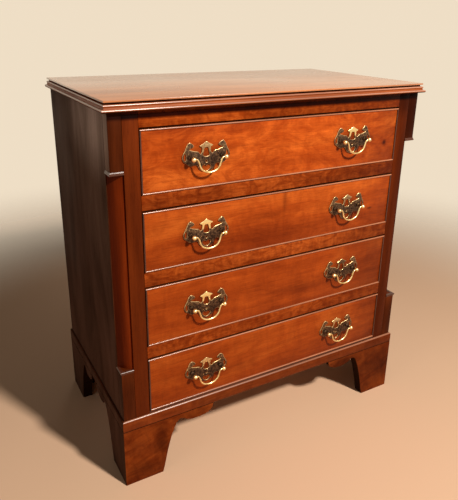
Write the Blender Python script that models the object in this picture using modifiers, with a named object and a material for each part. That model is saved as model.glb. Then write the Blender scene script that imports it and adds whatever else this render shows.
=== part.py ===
"""A small chest of four long drawers in mahogany, with oak-lined drawers, canted front corners
between square blocks, bracket feet and pierced brass plates with swan-neck bails.

Metres, +Z up, the drawers open towards -Y. The origin is on the floor, at the middle of the
overall box. Depths are measured backwards from the face of the stiles.
"""
import math

import bmesh
import bpy
from mathutils import Matrix, Vector

# Carcase
CASE_WIDTH = 0.686
CASE_DEPTH = 0.388
TOTAL_HEIGHT = 0.760
SEAT_GAP = 0.0003             # between two faces that are glued or rest on each other
JOINT_LAP = 0.002             # how far the parts of one solid piece run into each other
SIDE_THICKNESS = 0.018
BACK_THICKNESS = 0.010
STILE_WIDTH = 0.028
STILE_THICKNESS = 0.024
BOTTOM_SETBACK = 0.001
BOTTOM_RAISE = 0.004          # the bottom board's top above the base moulding's top

# Corner blocks and canted posts
CORNER_WIDTH = 0.024
CANT_SETBACK = 0.0015         # the cant's two edges inside the square corner
CANT_QUIRK_WIDTH = 0.0022
CANT_QUIRK_DEPTH = 0.003
CANT_BULGE_SHARES = (
    (0.0, 0.0), (0.15, 0.51), (0.32, 0.87), (0.5, 1.0), (0.68, 0.87), (0.85, 0.51), (1.0, 0.0),
)
CANT_BULGE = 0.0009
UPPER_BLOCK_HEIGHT = 0.104
LOWER_BLOCK_HEIGHT = 0.1095
BLOCK_CAP_THICKNESS = 0.006
BLOCK_CAP_PROUD = 0.002
BLOCK_CAP_ROUND = 0.0015
CAP_ROUND_STEPS = 2

# Top
TOP_THICKNESS = 0.019
TOP_CORE_OVERHANG = 0.003
TOP_LIP_OVERHANG = 0.006
TOP_LIP_THICKNESS = 0.0042
TOP_LIP_ROUND = 0.0008
TOP_QUIRK_HEIGHT = 0.0024
TOP_MOULD_REACH = 0.0077
TOP_MOULD_SHARES = (
    (0.0, 0.0), (0.70, 0.0), (0.90, 0.06), (1.0, 0.16), (1.0, 0.28), (0.90, 0.39),
    (0.73, 0.45), (0.57, 0.55), (0.45, 0.68), (0.39, 0.82), (0.42, 0.92), (0.31, 1.0), (0.0, 1.0),
)

# Rails and what the drawers run on
RAIL_HEIGHTS = (0.027, 0.028, 0.0255)       # first to third, below the first to third drawer
TOP_RAIL_HEIGHT = 0.0278
RAIL_DEPTH = 0.060
RUNNER_LAP = 0.020            # how far a runner reaches under a drawer side
DUSTBOARD_THICKNESS = 0.006
GUIDE_HEIGHT = 0.014
STOP_OFFSET_SHARE = 0.517      # of half the drawer front
STOP_WIDTH = 0.030
STOP_LENGTH = 0.022
STOP_HEIGHT = 0.004

# Base moulding and feet
BASE_HEIGHT = 0.0235
BASE_PROUD = 0.004
BASE_ROUND_SHARES = ((1.0, 0.0), (1.0, 0.83), (0.90, 0.92), (0.68, 0.98), (0.40, 1.0))
FOOT_HEIGHT = 0.128
FOOT_THICKNESS = 0.022
FOOT_TOE = 0.079
FOOT_SPREAD = 0.032
FRONT_WING = 0.084
SIDE_WING = 0.068
LEG_SHARES = ((0.0, 0.0), (0.16, 0.16), (0.36, 0.39), (0.62, 0.63), (0.86, 0.79), (1.0, 0.87))
WING_SHARES = (
    (0.08, 0.915), (0.19, 0.905), (0.29, 0.86), (0.40, 0.835), (0.58, 0.83),
    (0.77, 0.845), (0.91, 0.885), (0.97, 0.93), (1.0, 1.0),
)
GLUE_BLOCK_WIDTH = 0.022
GLUE_BLOCK_LIFT = 0.004
REAR_BRACKET_THICKNESS = 0.016
REAR_BRACKET_TOE = 0.040
REAR_BRACKET_TOP = 0.075

# Drawers, top to bottom
DRAWER_HEIGHT_SHARES = (0.2447, 0.2457, 0.2585, 0.2511)   # of what the rails leave
DRAWER_LIFT = 0.001
DRAWER_HEAD = 0.0013
DRAWER_SIDE_CLEARANCE = 0.001
DRAWER_BACK_CLEARANCE = 0.0157   # between a closed drawer and the back board
DRAWER_FRONT_THICKNESS = 0.020
DRAWER_SIDE_THICKNESS = 0.008
DRAWER_SIDE_HEAD = 0.0025
DRAWER_BACK_THICKNESS = 0.008
DRAWER_BACK_DROP = 0.005
DRAWER_BOTTOM_THICKNESS = 0.006
DRAWER_BOTTOM_LIFT = 0.006
BEAD_THICKNESS = 0.003
BEAD_PROUD = 0.002
# Steps from the bead's outer side to its inner side: inwards, forwards
BEAD_SIDE_SHARE = 0.45
BEAD_STEP_SHARES = ((0.15, 0.30), (0.35, 0.25), (0.35, -0.25), (0.15, -0.30))

# Handles
HANDLE_OFFSET_SHARE = 0.5776  # of half the drawer front
HANDLE_SINK = 0.001           # the posts' line below the middle of the drawer front
POST_SPACING = 0.0635
PIVOT_REACH = 0.017           # the bail's axis in front of the drawer face
PLATE_THICKNESS = 0.002
PLATE_SINK_SHARE = 0.5        # the posts' collars start this far inside the plate
PLATE_HALF_WIDTH = 0.047
PLATE_RISE = 0.027
# Right half of the plate's edge, from the peak round to the lowest point
PLATE_EDGE_SHARES = (
    (0.0, 1.0), (0.09, 0.91), (0.18, 0.82), (0.28, 0.74), (0.255, 0.66), (0.19, 0.62),
    (0.18, 0.44), (0.205, 0.27), (0.25, 0.20), (0.295, 0.26), (0.33, 0.34), (0.40, 0.38),
    (0.52, 0.42), (0.64, 0.49), (0.71, 0.55), (0.645, 0.60), (0.575, 0.64), (0.52, 0.72),
    (0.545, 0.83), (0.62, 0.94), (0.70, 0.99), (0.78, 0.90), (0.84, 0.71), (0.885, 0.51),
    (0.95, 0.32), (1.0, 0.11), (0.985, -0.12), (0.92, -0.28), (0.84, -0.37), (0.755, -0.49),
    (0.645, -0.56), (0.53, -0.53), (0.43, -0.52), (0.36, -0.62), (0.33, -0.75), (0.255, -0.89),
    (0.15, -0.98), (0.055, -1.02), (0.0, -1.08),
)
PLATE_SLOT_SHARES = (
    (-0.075, 0.57), (0.075, 0.57), (0.11, 0.34), (0.135, 0.12),
    (0.065, 0.02), (-0.065, 0.02), (-0.135, 0.12), (-0.11, 0.34),
)
PLATE_HEART_SHARES = (
    (0.0, -0.64), (0.07, -0.55), (0.15, -0.58), (0.175, -0.71), (0.12, -0.86), (0.0, -0.96),
    (-0.12, -0.86), (-0.175, -0.71), (-0.15, -0.58), (-0.07, -0.55),
)
PLATE_CRESCENT_SHARES = (
    (0.88, 0.34), (0.935, 0.13), (0.93, -0.09), (0.875, -0.19), (0.845, -0.04), (0.845, 0.18),
)
EYELET_RADIUS = 0.0019
EYELET_DROP = 0.0085
EYELET_SIDES = 8
POST_HEAD_RADIUS = 0.0045
POST_NECK_RADIUS = 0.0022
POST_COLLAR_RADIUS = 0.0046
POST_COLLAR_THICKNESS = 0.0012
POST_FLARE = 0.0032           # the run over which the neck widens into the collar
POST_SHANK_RADIUS = 0.0024
POST_SIDES = 12
HEAD_SHARES = ((0.0, 1.0), (0.64, 0.76), (1.0, 0.0), (0.76, -0.66), (0.49, -0.93))
SHANK_CLEARANCE = 0.0003
SHANK_HOLE_SIDES = 12
NUT_RADIUS = 0.006
NUT_THICKNESS = 0.003
SHANK_PAST_NUT = 0.002
BAIL_RADIUS = 0.0017
BAIL_DROP = 0.0252
BAIL_END_GAP = 0.00075        # how far a bail end stops short of its post's axis
BAIL_BORE_CLEARANCE = 0.0004
BAIL_BORE_DEPTH = 0.001       # how far the bore runs past the post's axis
BAIL_BORE_OVERRUN = 0.003
BAIL_BORE_SIDES = 10
BAIL_RING_STEPS = 2           # gives eight sides
# Right half of the bail, from its end in the post round to the lowest point: across, down, thickness
BAIL_SHARES = (
    (1.0, 0.0, 0.86), (0.875, 0.0, 0.86), (0.80, 0.04, 0.88), (0.745, 0.13, 0.90),
    (0.695, 0.28, 0.95), (0.66, 0.44, 1.0), (0.605, 0.61, 1.04), (0.50, 0.78, 1.08),
    (0.345, 0.905, 1.12), (0.175, 0.975, 1.14), (0.0, 1.0, 1.15),
)

WELD = 0.00001
OUTLINE_TO_FRONT = Matrix(((1, 0, 0, 0), (0, 0, -1, 0), (0, 1, 0, 0), (0, 0, 0, 1)))

# Places that follow from the sizes above, in depths behind the face and in heights
HALF = CASE_WIDTH / 2
CORNER_INNER = HALF - CORNER_WIDTH
OPENING_HALF = CORNER_INNER - STILE_WIDTH
SIDE_INNER = HALF - SIDE_THICKNESS
BACK_INNER = CASE_DEPTH - BACK_THICKNESS - SEAT_GAP
DRAWER_LENGTH = BACK_INNER - DRAWER_BACK_CLEARANCE
DRAWER_HALF = OPENING_HALF - DRAWER_SIDE_CLEARANCE
HANDLE_OFFSET = DRAWER_HALF * HANDLE_OFFSET_SHARE
HANDLE_REACH = PIVOT_REACH + POST_HEAD_RADIUS
FACE_Y = (HANDLE_REACH - CASE_DEPTH) / 2
CASE_LOW = FOOT_HEIGHT + SEAT_GAP
BASE_TOP = FOOT_HEIGHT + BASE_HEIGHT
BOTTOM_TOP = BASE_TOP + BOTTOM_RAISE
CASE_TOP = TOTAL_HEIGHT - TOP_THICKNESS


def opening_levels():
    """The lowest and highest level of each drawer's opening, and the drawer's height, top drawer first."""
    room = CASE_TOP - TOP_RAIL_HEIGHT - BOTTOM_TOP - sum(RAIL_HEIGHTS)
    play = DRAWER_LIFT + DRAWER_HEAD
    free = room - play * len(DRAWER_HEIGHT_SHARES)
    levels = []
    high = CASE_TOP - TOP_RAIL_HEIGHT
    for number, share in enumerate(DRAWER_HEIGHT_SHARES):
        low = high - play - free * share
        levels.append((low, high, free * share))
        if number < len(RAIL_HEIGHTS):
            high = low - RAIL_HEIGHTS[number]
    return levels


OPENINGS = opening_levels()


def clear_scene():
    for thing in list(bpy.data.objects):
        bpy.data.objects.remove(thing, do_unlink=True)


def new_collection(name):
    group = bpy.data.collections.new(name)
    bpy.context.scene.collection.children.link(group)
    return group


def new_material(name, colour, roughness, metallic=0.0):
    material = bpy.data.materials.new(name)
    material.use_nodes = True
    shader = material.node_tree.nodes["Principled BSDF"]
    shader.inputs["Base Color"].default_value = (*colour, 1.0)
    shader.inputs["Roughness"].default_value = roughness
    shader.inputs["Metallic"].default_value = metallic
    return material


clear_scene()
CHEST = new_collection("chest_of_drawers")
CUTTERS = new_collection("cutters")
FRONT_WOOD = new_material("polished_drawer_mahogany", (0.50, 0.13, 0.03), 0.3)
CASE_WOOD = new_material("polished_case_mahogany", (0.23, 0.07, 0.025), 0.32)
SIDE_WOOD = new_material("dark_side_mahogany", (0.13, 0.05, 0.025), 0.35)
TOP_WOOD = new_material("polished_top_mahogany", (0.36, 0.13, 0.06), 0.28)
OAK = new_material("drawer_oak", (0.42, 0.29, 0.16), 0.6)
PINE = new_material("inside_pine", (0.45, 0.30, 0.17), 0.7)
DARK_BRASS = new_material("dark_plate_brass", (0.25, 0.17, 0.09), 0.4, 1.0)
BRIGHT_BRASS = new_material("bright_bail_brass", (0.75, 0.55, 0.25), 0.25, 1.0)


def add_object(name, mesh, material, parent=None, origin=(0.0, 0.0, 0.0)):
    """An object whose mesh was drawn in world places and whose origin is put at the given point."""
    mesh.name = name
    mesh.transform(Matrix.Translation(-Vector(origin)))
    thing = bpy.data.objects.new(name, mesh)
    thing.data.materials.clear()
    thing.data.materials.append(material)
    CHEST.objects.link(thing)
    thing.location = origin
    if parent:
        thing.parent = parent
        thing.location = Vector(origin) - parent.location
    return thing


def evaluated_mesh(thing):
    """The object's mesh with its modifiers made real, its loose caps welded, and the object removed."""
    bpy.context.view_layer.update()
    graph = bpy.context.evaluated_depsgraph_get()
    mesh = bpy.data.meshes.new_from_object(thing.evaluated_get(graph), depsgraph=graph)
    mesh.transform(thing.matrix_world)
    bpy.data.objects.remove(thing, do_unlink=True)
    cage = bmesh.new()
    cage.from_mesh(mesh)
    bmesh.ops.remove_doubles(cage, verts=cage.verts, dist=WELD)
    bmesh.ops.recalc_face_normals(cage, faces=cage.faces)
    cage.to_mesh(mesh)
    cage.free()
    return mesh


def united(name, meshes, material, parent=None, origin=(0.0, 0.0, 0.0)):
    """One solid piece of several closed shapes that run into each other."""
    first = bpy.data.objects.new(name, meshes[0])
    CUTTERS.objects.link(first)
    tools = []
    for mesh in meshes[1:]:
        tool = bpy.data.objects.new("lap", mesh)
        CUTTERS.objects.link(tool)
        add_boolean(first, tool, "UNION")
        tools.append(tool)
    whole = evaluated_mesh(first)
    for tool in tools:
        bpy.data.objects.remove(tool, do_unlink=True)
    return add_object(name, whole, material, parent, origin)


def add_boolean(thing, tool, operation="DIFFERENCE"):
    cut = thing.modifiers.new(tool.name, "BOOLEAN")
    cut.operation = operation
    cut.solver = "EXACT"
    cut.object = tool


def make_cutter(thing):
    for group in list(thing.users_collection):
        group.objects.unlink(thing)
    CUTTERS.objects.link(thing)
    thing.hide_render = True
    thing.display_type = "WIRE"


def moved(mesh, matrix):
    piece = mesh.copy()
    piece.transform(matrix)
    return piece


def add_board(cage, x_span, depth_span, z_span):
    """A squared board between two values across, two depths behind the face and two heights."""
    made = bmesh.ops.create_cube(cage, size=1.0)["verts"]
    spans = (x_span, tuple(FACE_Y + depth for depth in depth_span), z_span)
    bmesh.ops.scale(cage, vec=[span[1] - span[0] for span in spans], verts=made)
    bmesh.ops.translate(cage, vec=[(span[0] + span[1]) / 2 for span in spans], verts=made)


def board_mesh(x_span, depth_span, z_span):
    cage = bmesh.new()
    add_board(cage, x_span, depth_span, z_span)
    mesh = bpy.data.meshes.new("board")
    cage.to_mesh(mesh)
    cage.free()
    return mesh


def board(name, x_span, depth_span, z_span, material, parent=None, origin=(0.0, 0.0, 0.0)):
    return add_object(name, board_mesh(x_span, depth_span, z_span), material, parent, origin)


def mirrored(span):
    """The span on the right and the same span on the left."""
    return (span, (-span[1], -span[0]))


def mirrored_mesh(mesh):
    """The same piece for the other side of the chest, with its faces still outwards."""
    other = mesh.copy()
    other.transform(Matrix.Scale(-1, 4, (1, 0, 0)))
    other.flip_normals()
    return other


def rounded_mesh(mesh, width, steps):
    thing = bpy.data.objects.new("rounded", mesh)
    CUTTERS.objects.link(thing)
    rounding = thing.modifiers.new("rounding", "BEVEL")
    rounding.width = width
    rounding.segments = steps
    rounding.limit_method = "ANGLE"
    return evaluated_mesh(thing)


def outline_mesh(loops, thickness):
    """A flat plate: the first loop is its edge in X and Y, the others are holes through it."""
    curve = bpy.data.curves.new("outline", "CURVE")
    curve.dimensions = "2D"
    curve.fill_mode = "BOTH"
    curve.extrude = thickness / 2
    for loop in loops:
        spline = curve.splines.new("POLY")
        spline.points.add(len(loop) - 1)
        for point, (across, along) in zip(spline.points, loop):
            point.co = (across, along, 0.0, 1.0)
        spline.use_cyclic_u = True
    thing = bpy.data.objects.new("outline", curve)
    CUTTERS.objects.link(thing)
    return evaluated_mesh(thing)


def turned_mesh(profile, sides):
    """A turned piece about +Z from (radius, height) points, top to bottom down its outer side."""
    edges = [(number, number + 1) for number in range(len(profile) - 1)]
    mesh = bpy.data.meshes.new("profile")
    mesh.from_pydata([(radius, 0.0, height) for radius, height in profile], edges, [])
    thing = bpy.data.objects.new("profile", mesh)
    CUTTERS.objects.link(thing)
    screw = thing.modifiers.new("turn", "SCREW")
    screw.axis = "Z"
    screw.steps = sides
    screw.render_steps = sides
    screw.use_merge_vertices = True
    screw.merge_threshold = WELD
    return evaluated_mesh(thing)


def regular_loop(centre, radius, sides):
    step = 2 * math.pi / sides
    return [(centre[0] + radius * math.cos(step * n), centre[1] + radius * math.sin(step * n))
            for n in range(sides)]


def surround(name, profile, material):
    """A moulding in one length round the front and both sides, mitred at the front corners.

    The profile holds (outward, up) points, outwards from the faces of the carcase.
    """
    stations = ((-1, CASE_DEPTH, 0), (-1, 0.0, -1), (1, 0.0, -1), (1, CASE_DEPTH, 0))
    cage = bmesh.new()
    ring = [cage.verts.new((0.0, out, up)) for out, up in profile]
    section = cage.faces.new(ring)
    for number, (side, depth, lean) in enumerate(stations):
        if number:
            grown = bmesh.ops.extrude_face_region(cage, geom=[section])["geom"]
            if number > 1:
                bmesh.ops.delete(cage, geom=[section], context="FACES_ONLY")
            section = [item for item in grown if isinstance(item, bmesh.types.BMFace)][0]
            ring = [loop.vert for loop in section.loops]
        for vertex, (out, up) in zip(ring, profile):
            vertex.co = (side * (HALF + out), FACE_Y + depth + lean * out, up)
    bmesh.ops.recalc_face_normals(cage, faces=cage.faces)
    mesh = bpy.data.meshes.new(name)
    cage.to_mesh(mesh)
    cage.free()
    add_object(name, mesh, material)


# Top: a board with a thin lip, over a moulding glued round its front and ends
def build_top():
    core = HALF + TOP_CORE_OVERHANG
    lip = HALF + TOP_LIP_OVERHANG
    lip_low = TOTAL_HEIGHT - TOP_LIP_THICKNESS
    slab = board_mesh((-core, core), (-TOP_CORE_OVERHANG, CASE_DEPTH - TOP_LIP_ROUND),
                      (CASE_TOP, lip_low + TOP_LIP_THICKNESS / 2))
    edge = rounded_mesh(board_mesh((-lip, lip), (-TOP_LIP_OVERHANG, CASE_DEPTH), (lip_low, TOTAL_HEIGHT)),
                        TOP_LIP_ROUND, 1)
    united("top_board", [slab, edge], TOP_WOOD)

    height = TOP_THICKNESS - TOP_LIP_THICKNESS - TOP_QUIRK_HEIGHT
    inner = TOP_CORE_OVERHANG + SEAT_GAP
    profile = [(inner + out * (TOP_MOULD_REACH - SEAT_GAP), CASE_TOP + up * height)
               for out, up in TOP_MOULD_SHARES]
    surround("top_moulding", profile, TOP_WOOD)


# Carcase: sides with drawer guides glued to them, stiles, back and bottom
def build_case():
    upright = (CASE_LOW, CASE_TOP - SEAT_GAP)
    behind = (STILE_THICKNESS + SEAT_GAP, CASE_DEPTH)
    guide = ((OPENING_HALF, SIDE_INNER + JOINT_LAP), (behind[0], BACK_INNER))
    side = [board_mesh((SIDE_INNER, HALF), behind, upright)]
    side += [board_mesh(*guide, (low + SEAT_GAP, low + GUIDE_HEIGHT)) for low, high, height in OPENINGS]
    united("side_right", [mesh.copy() for mesh in side], SIDE_WOOD)
    united("side_left", [mirrored_mesh(mesh) for mesh in side], SIDE_WOOD)
    for name, across in zip(("right", "left"), mirrored((OPENING_HALF, CORNER_INNER))):
        board("stile_" + name, across, (0.0, STILE_THICKNESS), upright, CASE_WOOD)

    inside = SIDE_INNER - SEAT_GAP
    board("back_board", (-inside, inside), (CASE_DEPTH - BACK_THICKNESS, CASE_DEPTH), upright, PINE)

    narrow = OPENING_HALF - SEAT_GAP
    step = STILE_THICKNESS + SEAT_GAP
    level = (CASE_LOW, BOTTOM_TOP)
    shapes = [board_mesh((-inside, inside), (step, BACK_INNER), level),
              board_mesh((-narrow, narrow), (BOTTOM_SETBACK, step + JOINT_LAP), level)]
    united("carcase_bottom", shapes + stop_meshes(BOTTOM_TOP), PINE)


# Corner posts: a canted length between square blocks with moulded caps
def build_corners():
    upper_low = CASE_TOP - UPPER_BLOCK_HEIGHT
    lower_high = BASE_TOP + LOWER_BLOCK_HEIGHT
    cap = BLOCK_CAP_THICKNESS
    inner = CORNER_INNER + SEAT_GAP
    depth = (0.0, STILE_THICKNESS)
    shapes = [board_mesh((inner, HALF), depth, (upper_low + cap / 2, CASE_TOP - SEAT_GAP)),
              board_mesh((inner, HALF), depth, (CASE_LOW, lower_high - cap / 2))]
    proud = BLOCK_CAP_PROUD
    for low in (upper_low, lower_high - cap):
        shape = board_mesh((inner, HALF + proud), (-proud, STILE_THICKNESS), (low, low + cap))
        shapes.append(rounded_mesh(shape, BLOCK_CAP_ROUND, CAP_ROUND_STEPS))

    back = STILE_THICKNESS
    front_edge = Vector((inner + CANT_QUIRK_WIDTH, CANT_SETBACK))
    side_edge = Vector((HALF - CANT_SETBACK, back))
    along = side_edge - front_edge
    outward = Vector((along.y, -along.x)).normalized()
    outline = [front_edge + along * share + outward * CANT_BULGE * rise for share, rise in CANT_BULGE_SHARES]
    outline += [Vector((inner, back)), Vector((inner, CANT_QUIRK_DEPTH))]
    shape = outline_mesh([outline], upper_low - lower_high + cap)
    shape.transform(Matrix.Translation((0, FACE_Y, (upper_low + lower_high) / 2)))
    shapes.append(shape)
    united("corner_post_left", [mirrored_mesh(mesh) for mesh in shapes], CASE_WOOD)
    united("corner_post_right", shapes, CASE_WOOD)


def stop_meshes(level):
    """The two drawer stops glued on a rail whose top is at the given height."""
    start = DRAWER_FRONT_THICKNESS + SEAT_GAP
    middle = DRAWER_HALF * STOP_OFFSET_SHARE
    stop = (middle - STOP_WIDTH / 2, middle + STOP_WIDTH / 2)
    return [board_mesh(span, (start, start + STOP_LENGTH), (level - JOINT_LAP, level + STOP_HEIGHT))
            for span in mirrored(stop)]


# Rails across the front, and the dust frames, with runners at their ends, and kickers behind them
def build_rails():
    across = (SEAT_GAP - OPENING_HALF, OPENING_HALF - SEAT_GAP)
    depth = (0.0, RAIL_DEPTH)
    top_rail = (OPENINGS[0][1], CASE_TOP - SEAT_GAP)
    board("top_rail", across, depth, top_rail, CASE_WOOD)
    behind = (RAIL_DEPTH + SEAT_GAP, BACK_INNER)
    runner = (OPENING_HALF - RUNNER_LAP, SIDE_INNER - SEAT_GAP)
    for name, span in zip(("right", "left"), mirrored(runner)):
        board("kicker_" + name, span, behind, top_rail, PINE)

    panel = runner[0] + JOINT_LAP
    for number, (above, below) in enumerate(zip(OPENINGS[:-1], OPENINGS[1:]), 1):
        low, high = below[1], above[0]
        middle = (low + high) / 2
        rail = board_mesh(across, depth, (low, high))
        united("drawer_rail_%d" % number, [rail] + stop_meshes(high), CASE_WOOD)
        frame = [board_mesh(span, behind, (low, high)) for span in mirrored(runner)]
        frame.insert(1, board_mesh((-panel, panel), behind, (middle - DUSTBOARD_THICKNESS / 2,
                                                             middle + DUSTBOARD_THICKNESS / 2)))
        united("dust_frame_%d" % number, frame, PINE)


# Base moulding round the foot of the carcase
def build_base():
    reach = BASE_PROUD - SEAT_GAP
    profile = [(SEAT_GAP, FOOT_HEIGHT + SEAT_GAP)]
    profile += [(SEAT_GAP + out * reach, FOOT_HEIGHT + SEAT_GAP + up * (BASE_HEIGHT - SEAT_GAP))
                for out, up in BASE_ROUND_SHARES]
    profile.append((SEAT_GAP, BASE_TOP))
    surround("base_moulding", profile, CASE_WOOD)


def bracket_outline(wing):
    """A bracket's face: from the corner along the floor, up the leg and out along the wing."""
    outline = [(0.0, 0.0)]
    outline += [(FOOT_TOE + FOOT_SPREAD * along, FOOT_HEIGHT * up) for along, up in LEG_SHARES]
    outline += [(FOOT_TOE + FOOT_SPREAD + wing * along, FOOT_HEIGHT * up) for along, up in WING_SHARES]
    outline.append((0.0, FOOT_HEIGHT))
    return outline


def bracket_mesh(wing):
    """A foot bracket along +X with its face on Y = 0, thick towards +Y, its corner end at X = 0."""
    mesh = outline_mesh([bracket_outline(wing)], FOOT_THICKNESS)
    mesh.transform(OUTLINE_TO_FRONT)
    mesh.transform(Matrix.Translation((0, FOOT_THICKNESS / 2, 0)))
    return mesh


# Bracket feet: two brackets and a glue block each, the back pair with a plain rear bracket
def build_feet():
    outer = HALF + BASE_PROUD
    inner = outer - FOOT_THICKNESS + JOINT_LAP
    block = (-inner, GLUE_BLOCK_WIDTH - inner)
    turned = Matrix.Rotation(math.radians(-90), 4, "Z")

    corner = Matrix.Translation((-outer, FACE_Y - BASE_PROUD, 0))
    front = moved(bracket_mesh(FRONT_WING), corner)
    side = moved(mirrored_mesh(bracket_mesh(SIDE_WING)), corner @ turned)
    start = FOOT_THICKNESS - BASE_PROUD - JOINT_LAP
    glued = board_mesh(block, (start, start + GLUE_BLOCK_WIDTH), (GLUE_BLOCK_LIFT, FOOT_HEIGHT))
    shapes = [front, side, glued]
    united("foot_front_right", [mirrored_mesh(mesh) for mesh in shapes], CASE_WOOD)
    united("foot_front_left", shapes, CASE_WOOD)

    side = moved(bracket_mesh(SIDE_WING), Matrix.Translation((-outer, FACE_Y + CASE_DEPTH, 0)) @ turned)
    outline = [(0.0, 0.0), (REAR_BRACKET_TOE, 0.0), (REAR_BRACKET_TOP, FOOT_HEIGHT), (0.0, FOOT_HEIGHT)]
    middle = CASE_DEPTH - REAR_BRACKET_THICKNESS / 2
    rear = moved(outline_mesh([outline], REAR_BRACKET_THICKNESS),
                 Matrix.Translation((-inner, FACE_Y + middle, 0)) @ OUTLINE_TO_FRONT)
    end = CASE_DEPTH - REAR_BRACKET_THICKNESS + JOINT_LAP
    glued = board_mesh(block, (end - GLUE_BLOCK_WIDTH, end), (GLUE_BLOCK_LIFT, FOOT_HEIGHT))
    shapes = [side, rear, glued]
    united("foot_rear_right", [mirrored_mesh(mesh) for mesh in shapes], CASE_WOOD)
    united("foot_rear_left", shapes, CASE_WOOD)


def front_mesh(half_width, low, high):
    """A drawer front whose edges carry a round-nosed cock bead all round."""
    nose = BEAD_PROUD * BEAD_SIDE_SHARE
    cage = bmesh.new()
    add_board(cage, (-half_width, half_width), (-nose, DRAWER_FRONT_THICKNESS), (low, high))
    cage.faces.ensure_lookup_table()
    face = min(cage.faces, key=lambda each: each.calc_center_median().y)
    for inwards, forwards in BEAD_STEP_SHARES:
        bmesh.ops.inset_region(cage, faces=[face], use_even_offset=True,
                               thickness=inwards * BEAD_THICKNESS, depth=forwards * BEAD_PROUD)
    bmesh.ops.inset_region(cage, faces=[face], thickness=0.0, depth=-nose)
    mesh = bpy.data.meshes.new("front")
    cage.to_mesh(mesh)
    cage.free()
    return mesh


def post_profile():
    """The post from the tip of its head to the end of its shank, nut included: radius and reach."""
    profile = [(POST_HEAD_RADIUS * out, PIVOT_REACH + POST_HEAD_RADIUS * up) for out, up in HEAD_SHARES]
    seat = SEAT_GAP + PLATE_THICKNESS * PLATE_SINK_SHARE
    collar = SEAT_GAP + PLATE_THICKNESS + POST_COLLAR_THICKNESS
    nut = -DRAWER_FRONT_THICKNESS - SEAT_GAP
    nut_end = nut - NUT_THICKNESS
    shank_end = nut_end - SHANK_PAST_NUT
    profile += [
        (POST_NECK_RADIUS, collar + POST_FLARE), (POST_COLLAR_RADIUS, collar),
        (POST_COLLAR_RADIUS, seat), (POST_SHANK_RADIUS, seat), (POST_SHANK_RADIUS, nut),
        (NUT_RADIUS, nut), (NUT_RADIUS, nut_end), (POST_SHANK_RADIUS, nut_end),
        (POST_SHANK_RADIUS, shank_end), (0.0, shank_end),
    ]
    return profile


def post_mesh():
    """A post with a bore in its head for the bail, standing out along +Z, the bore open to -X."""
    length = POST_HEAD_RADIUS + BAIL_BORE_OVERRUN + BAIL_BORE_DEPTH
    bore = BAIL_RADIUS * BAIL_SHARES[0][2] + BAIL_BORE_CLEARANCE
    cage = bmesh.new()
    bmesh.ops.create_cone(cage, cap_ends=True, segments=BAIL_BORE_SIDES, radius1=bore,
                          radius2=bore, depth=length)
    mesh = bpy.data.meshes.new("bore")
    cage.to_mesh(mesh)
    cage.free()
    mesh.transform(Matrix.Translation((BAIL_BORE_DEPTH - length / 2, 0, PIVOT_REACH))
                   @ Matrix.Rotation(math.radians(90), 4, "Y"))
    post = bpy.data.objects.new("post", turned_mesh(post_profile(), POST_SIDES))
    tool = bpy.data.objects.new("bore", mesh)
    CUTTERS.objects.link(post)
    CUTTERS.objects.link(tool)
    add_boolean(post, tool)
    result = evaluated_mesh(post)
    bpy.data.objects.remove(tool, do_unlink=True)
    return result


def plate_mesh():
    """The pierced plate, its face towards -Y, with the posts' line at Z = 0."""
    def scaled(shares):
        return [(across * PLATE_HALF_WIDTH, up * PLATE_RISE) for across, up in shares]
    right = scaled(PLATE_EDGE_SHARES)
    edge = right + [(-across, up) for across, up in reversed(right[1:-1])]
    crescent = scaled(PLATE_CRESCENT_SHARES)
    holes = [scaled(PLATE_SLOT_SHARES), scaled(PLATE_HEART_SHARES), crescent,
             [(-across, up) for across, up in crescent],
             regular_loop((0.0, -EYELET_DROP), EYELET_RADIUS, EYELET_SIDES)]
    mesh = outline_mesh([edge] + holes, PLATE_THICKNESS)
    mesh.transform(OUTLINE_TO_FRONT)
    mesh.transform(Matrix.Translation((0, -SEAT_GAP - PLATE_THICKNESS / 2, 0)))
    return mesh


def bail_mesh():
    """The swan-neck bail hanging below its axis, which is the X axis."""
    curve = bpy.data.curves.new("bail", "CURVE")
    curve.dimensions = "3D"
    curve.bevel_depth = BAIL_RADIUS
    curve.bevel_resolution = BAIL_RING_STEPS
    curve.use_fill_caps = True
    spread = POST_SPACING / 2 - BAIL_END_GAP
    right = [(spread * across, -BAIL_DROP * down, thick) for across, down, thick in BAIL_SHARES]
    path = [(-across, down, thick) for across, down, thick in right[:-1]] + right[::-1]
    spline = curve.splines.new("POLY")
    spline.points.add(len(path) - 1)
    for point, (across, down, thick) in zip(spline.points, path):
        point.co = (across, 0.0, down, 1.0)
        point.radius = thick
    thing = bpy.data.objects.new("bail", curve)
    CUTTERS.objects.link(thing)
    return evaluated_mesh(thing)


PLATE = plate_mesh()
POST = post_mesh()
BAIL = bail_mesh()
OUTWARDS = Matrix.Rotation(math.radians(90), 4, "X")
HALF_TURN = Matrix.Rotation(math.radians(180), 4, "Z")


def build_handles(name, slide, line):
    """Two plates with their posts, and two bails, on the given line."""
    for side, direction in (("left", -1), ("right", 1)):
        centre = Vector((direction * HANDLE_OFFSET, FACE_Y, line))
        shapes = [moved(PLATE, Matrix.Translation(centre))]
        for reach, turn in ((1, Matrix()), (-1, HALF_TURN)):
            spot = Matrix.Translation(centre + Vector((reach * POST_SPACING / 2, 0, 0)))
            shapes.append(moved(POST, spot @ OUTWARDS @ turn))
        united(name + "_handle_plate_" + side, shapes, DARK_BRASS, slide, slide.location)
        pivot = centre + Vector((0, -PIVOT_REACH, 0))
        shape = moved(BAIL, Matrix.Translation(pivot))
        bail = add_object(name + "_bail_" + side, shape, BRIGHT_BRASS, slide, pivot)
        bail.data.shade_smooth()


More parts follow.
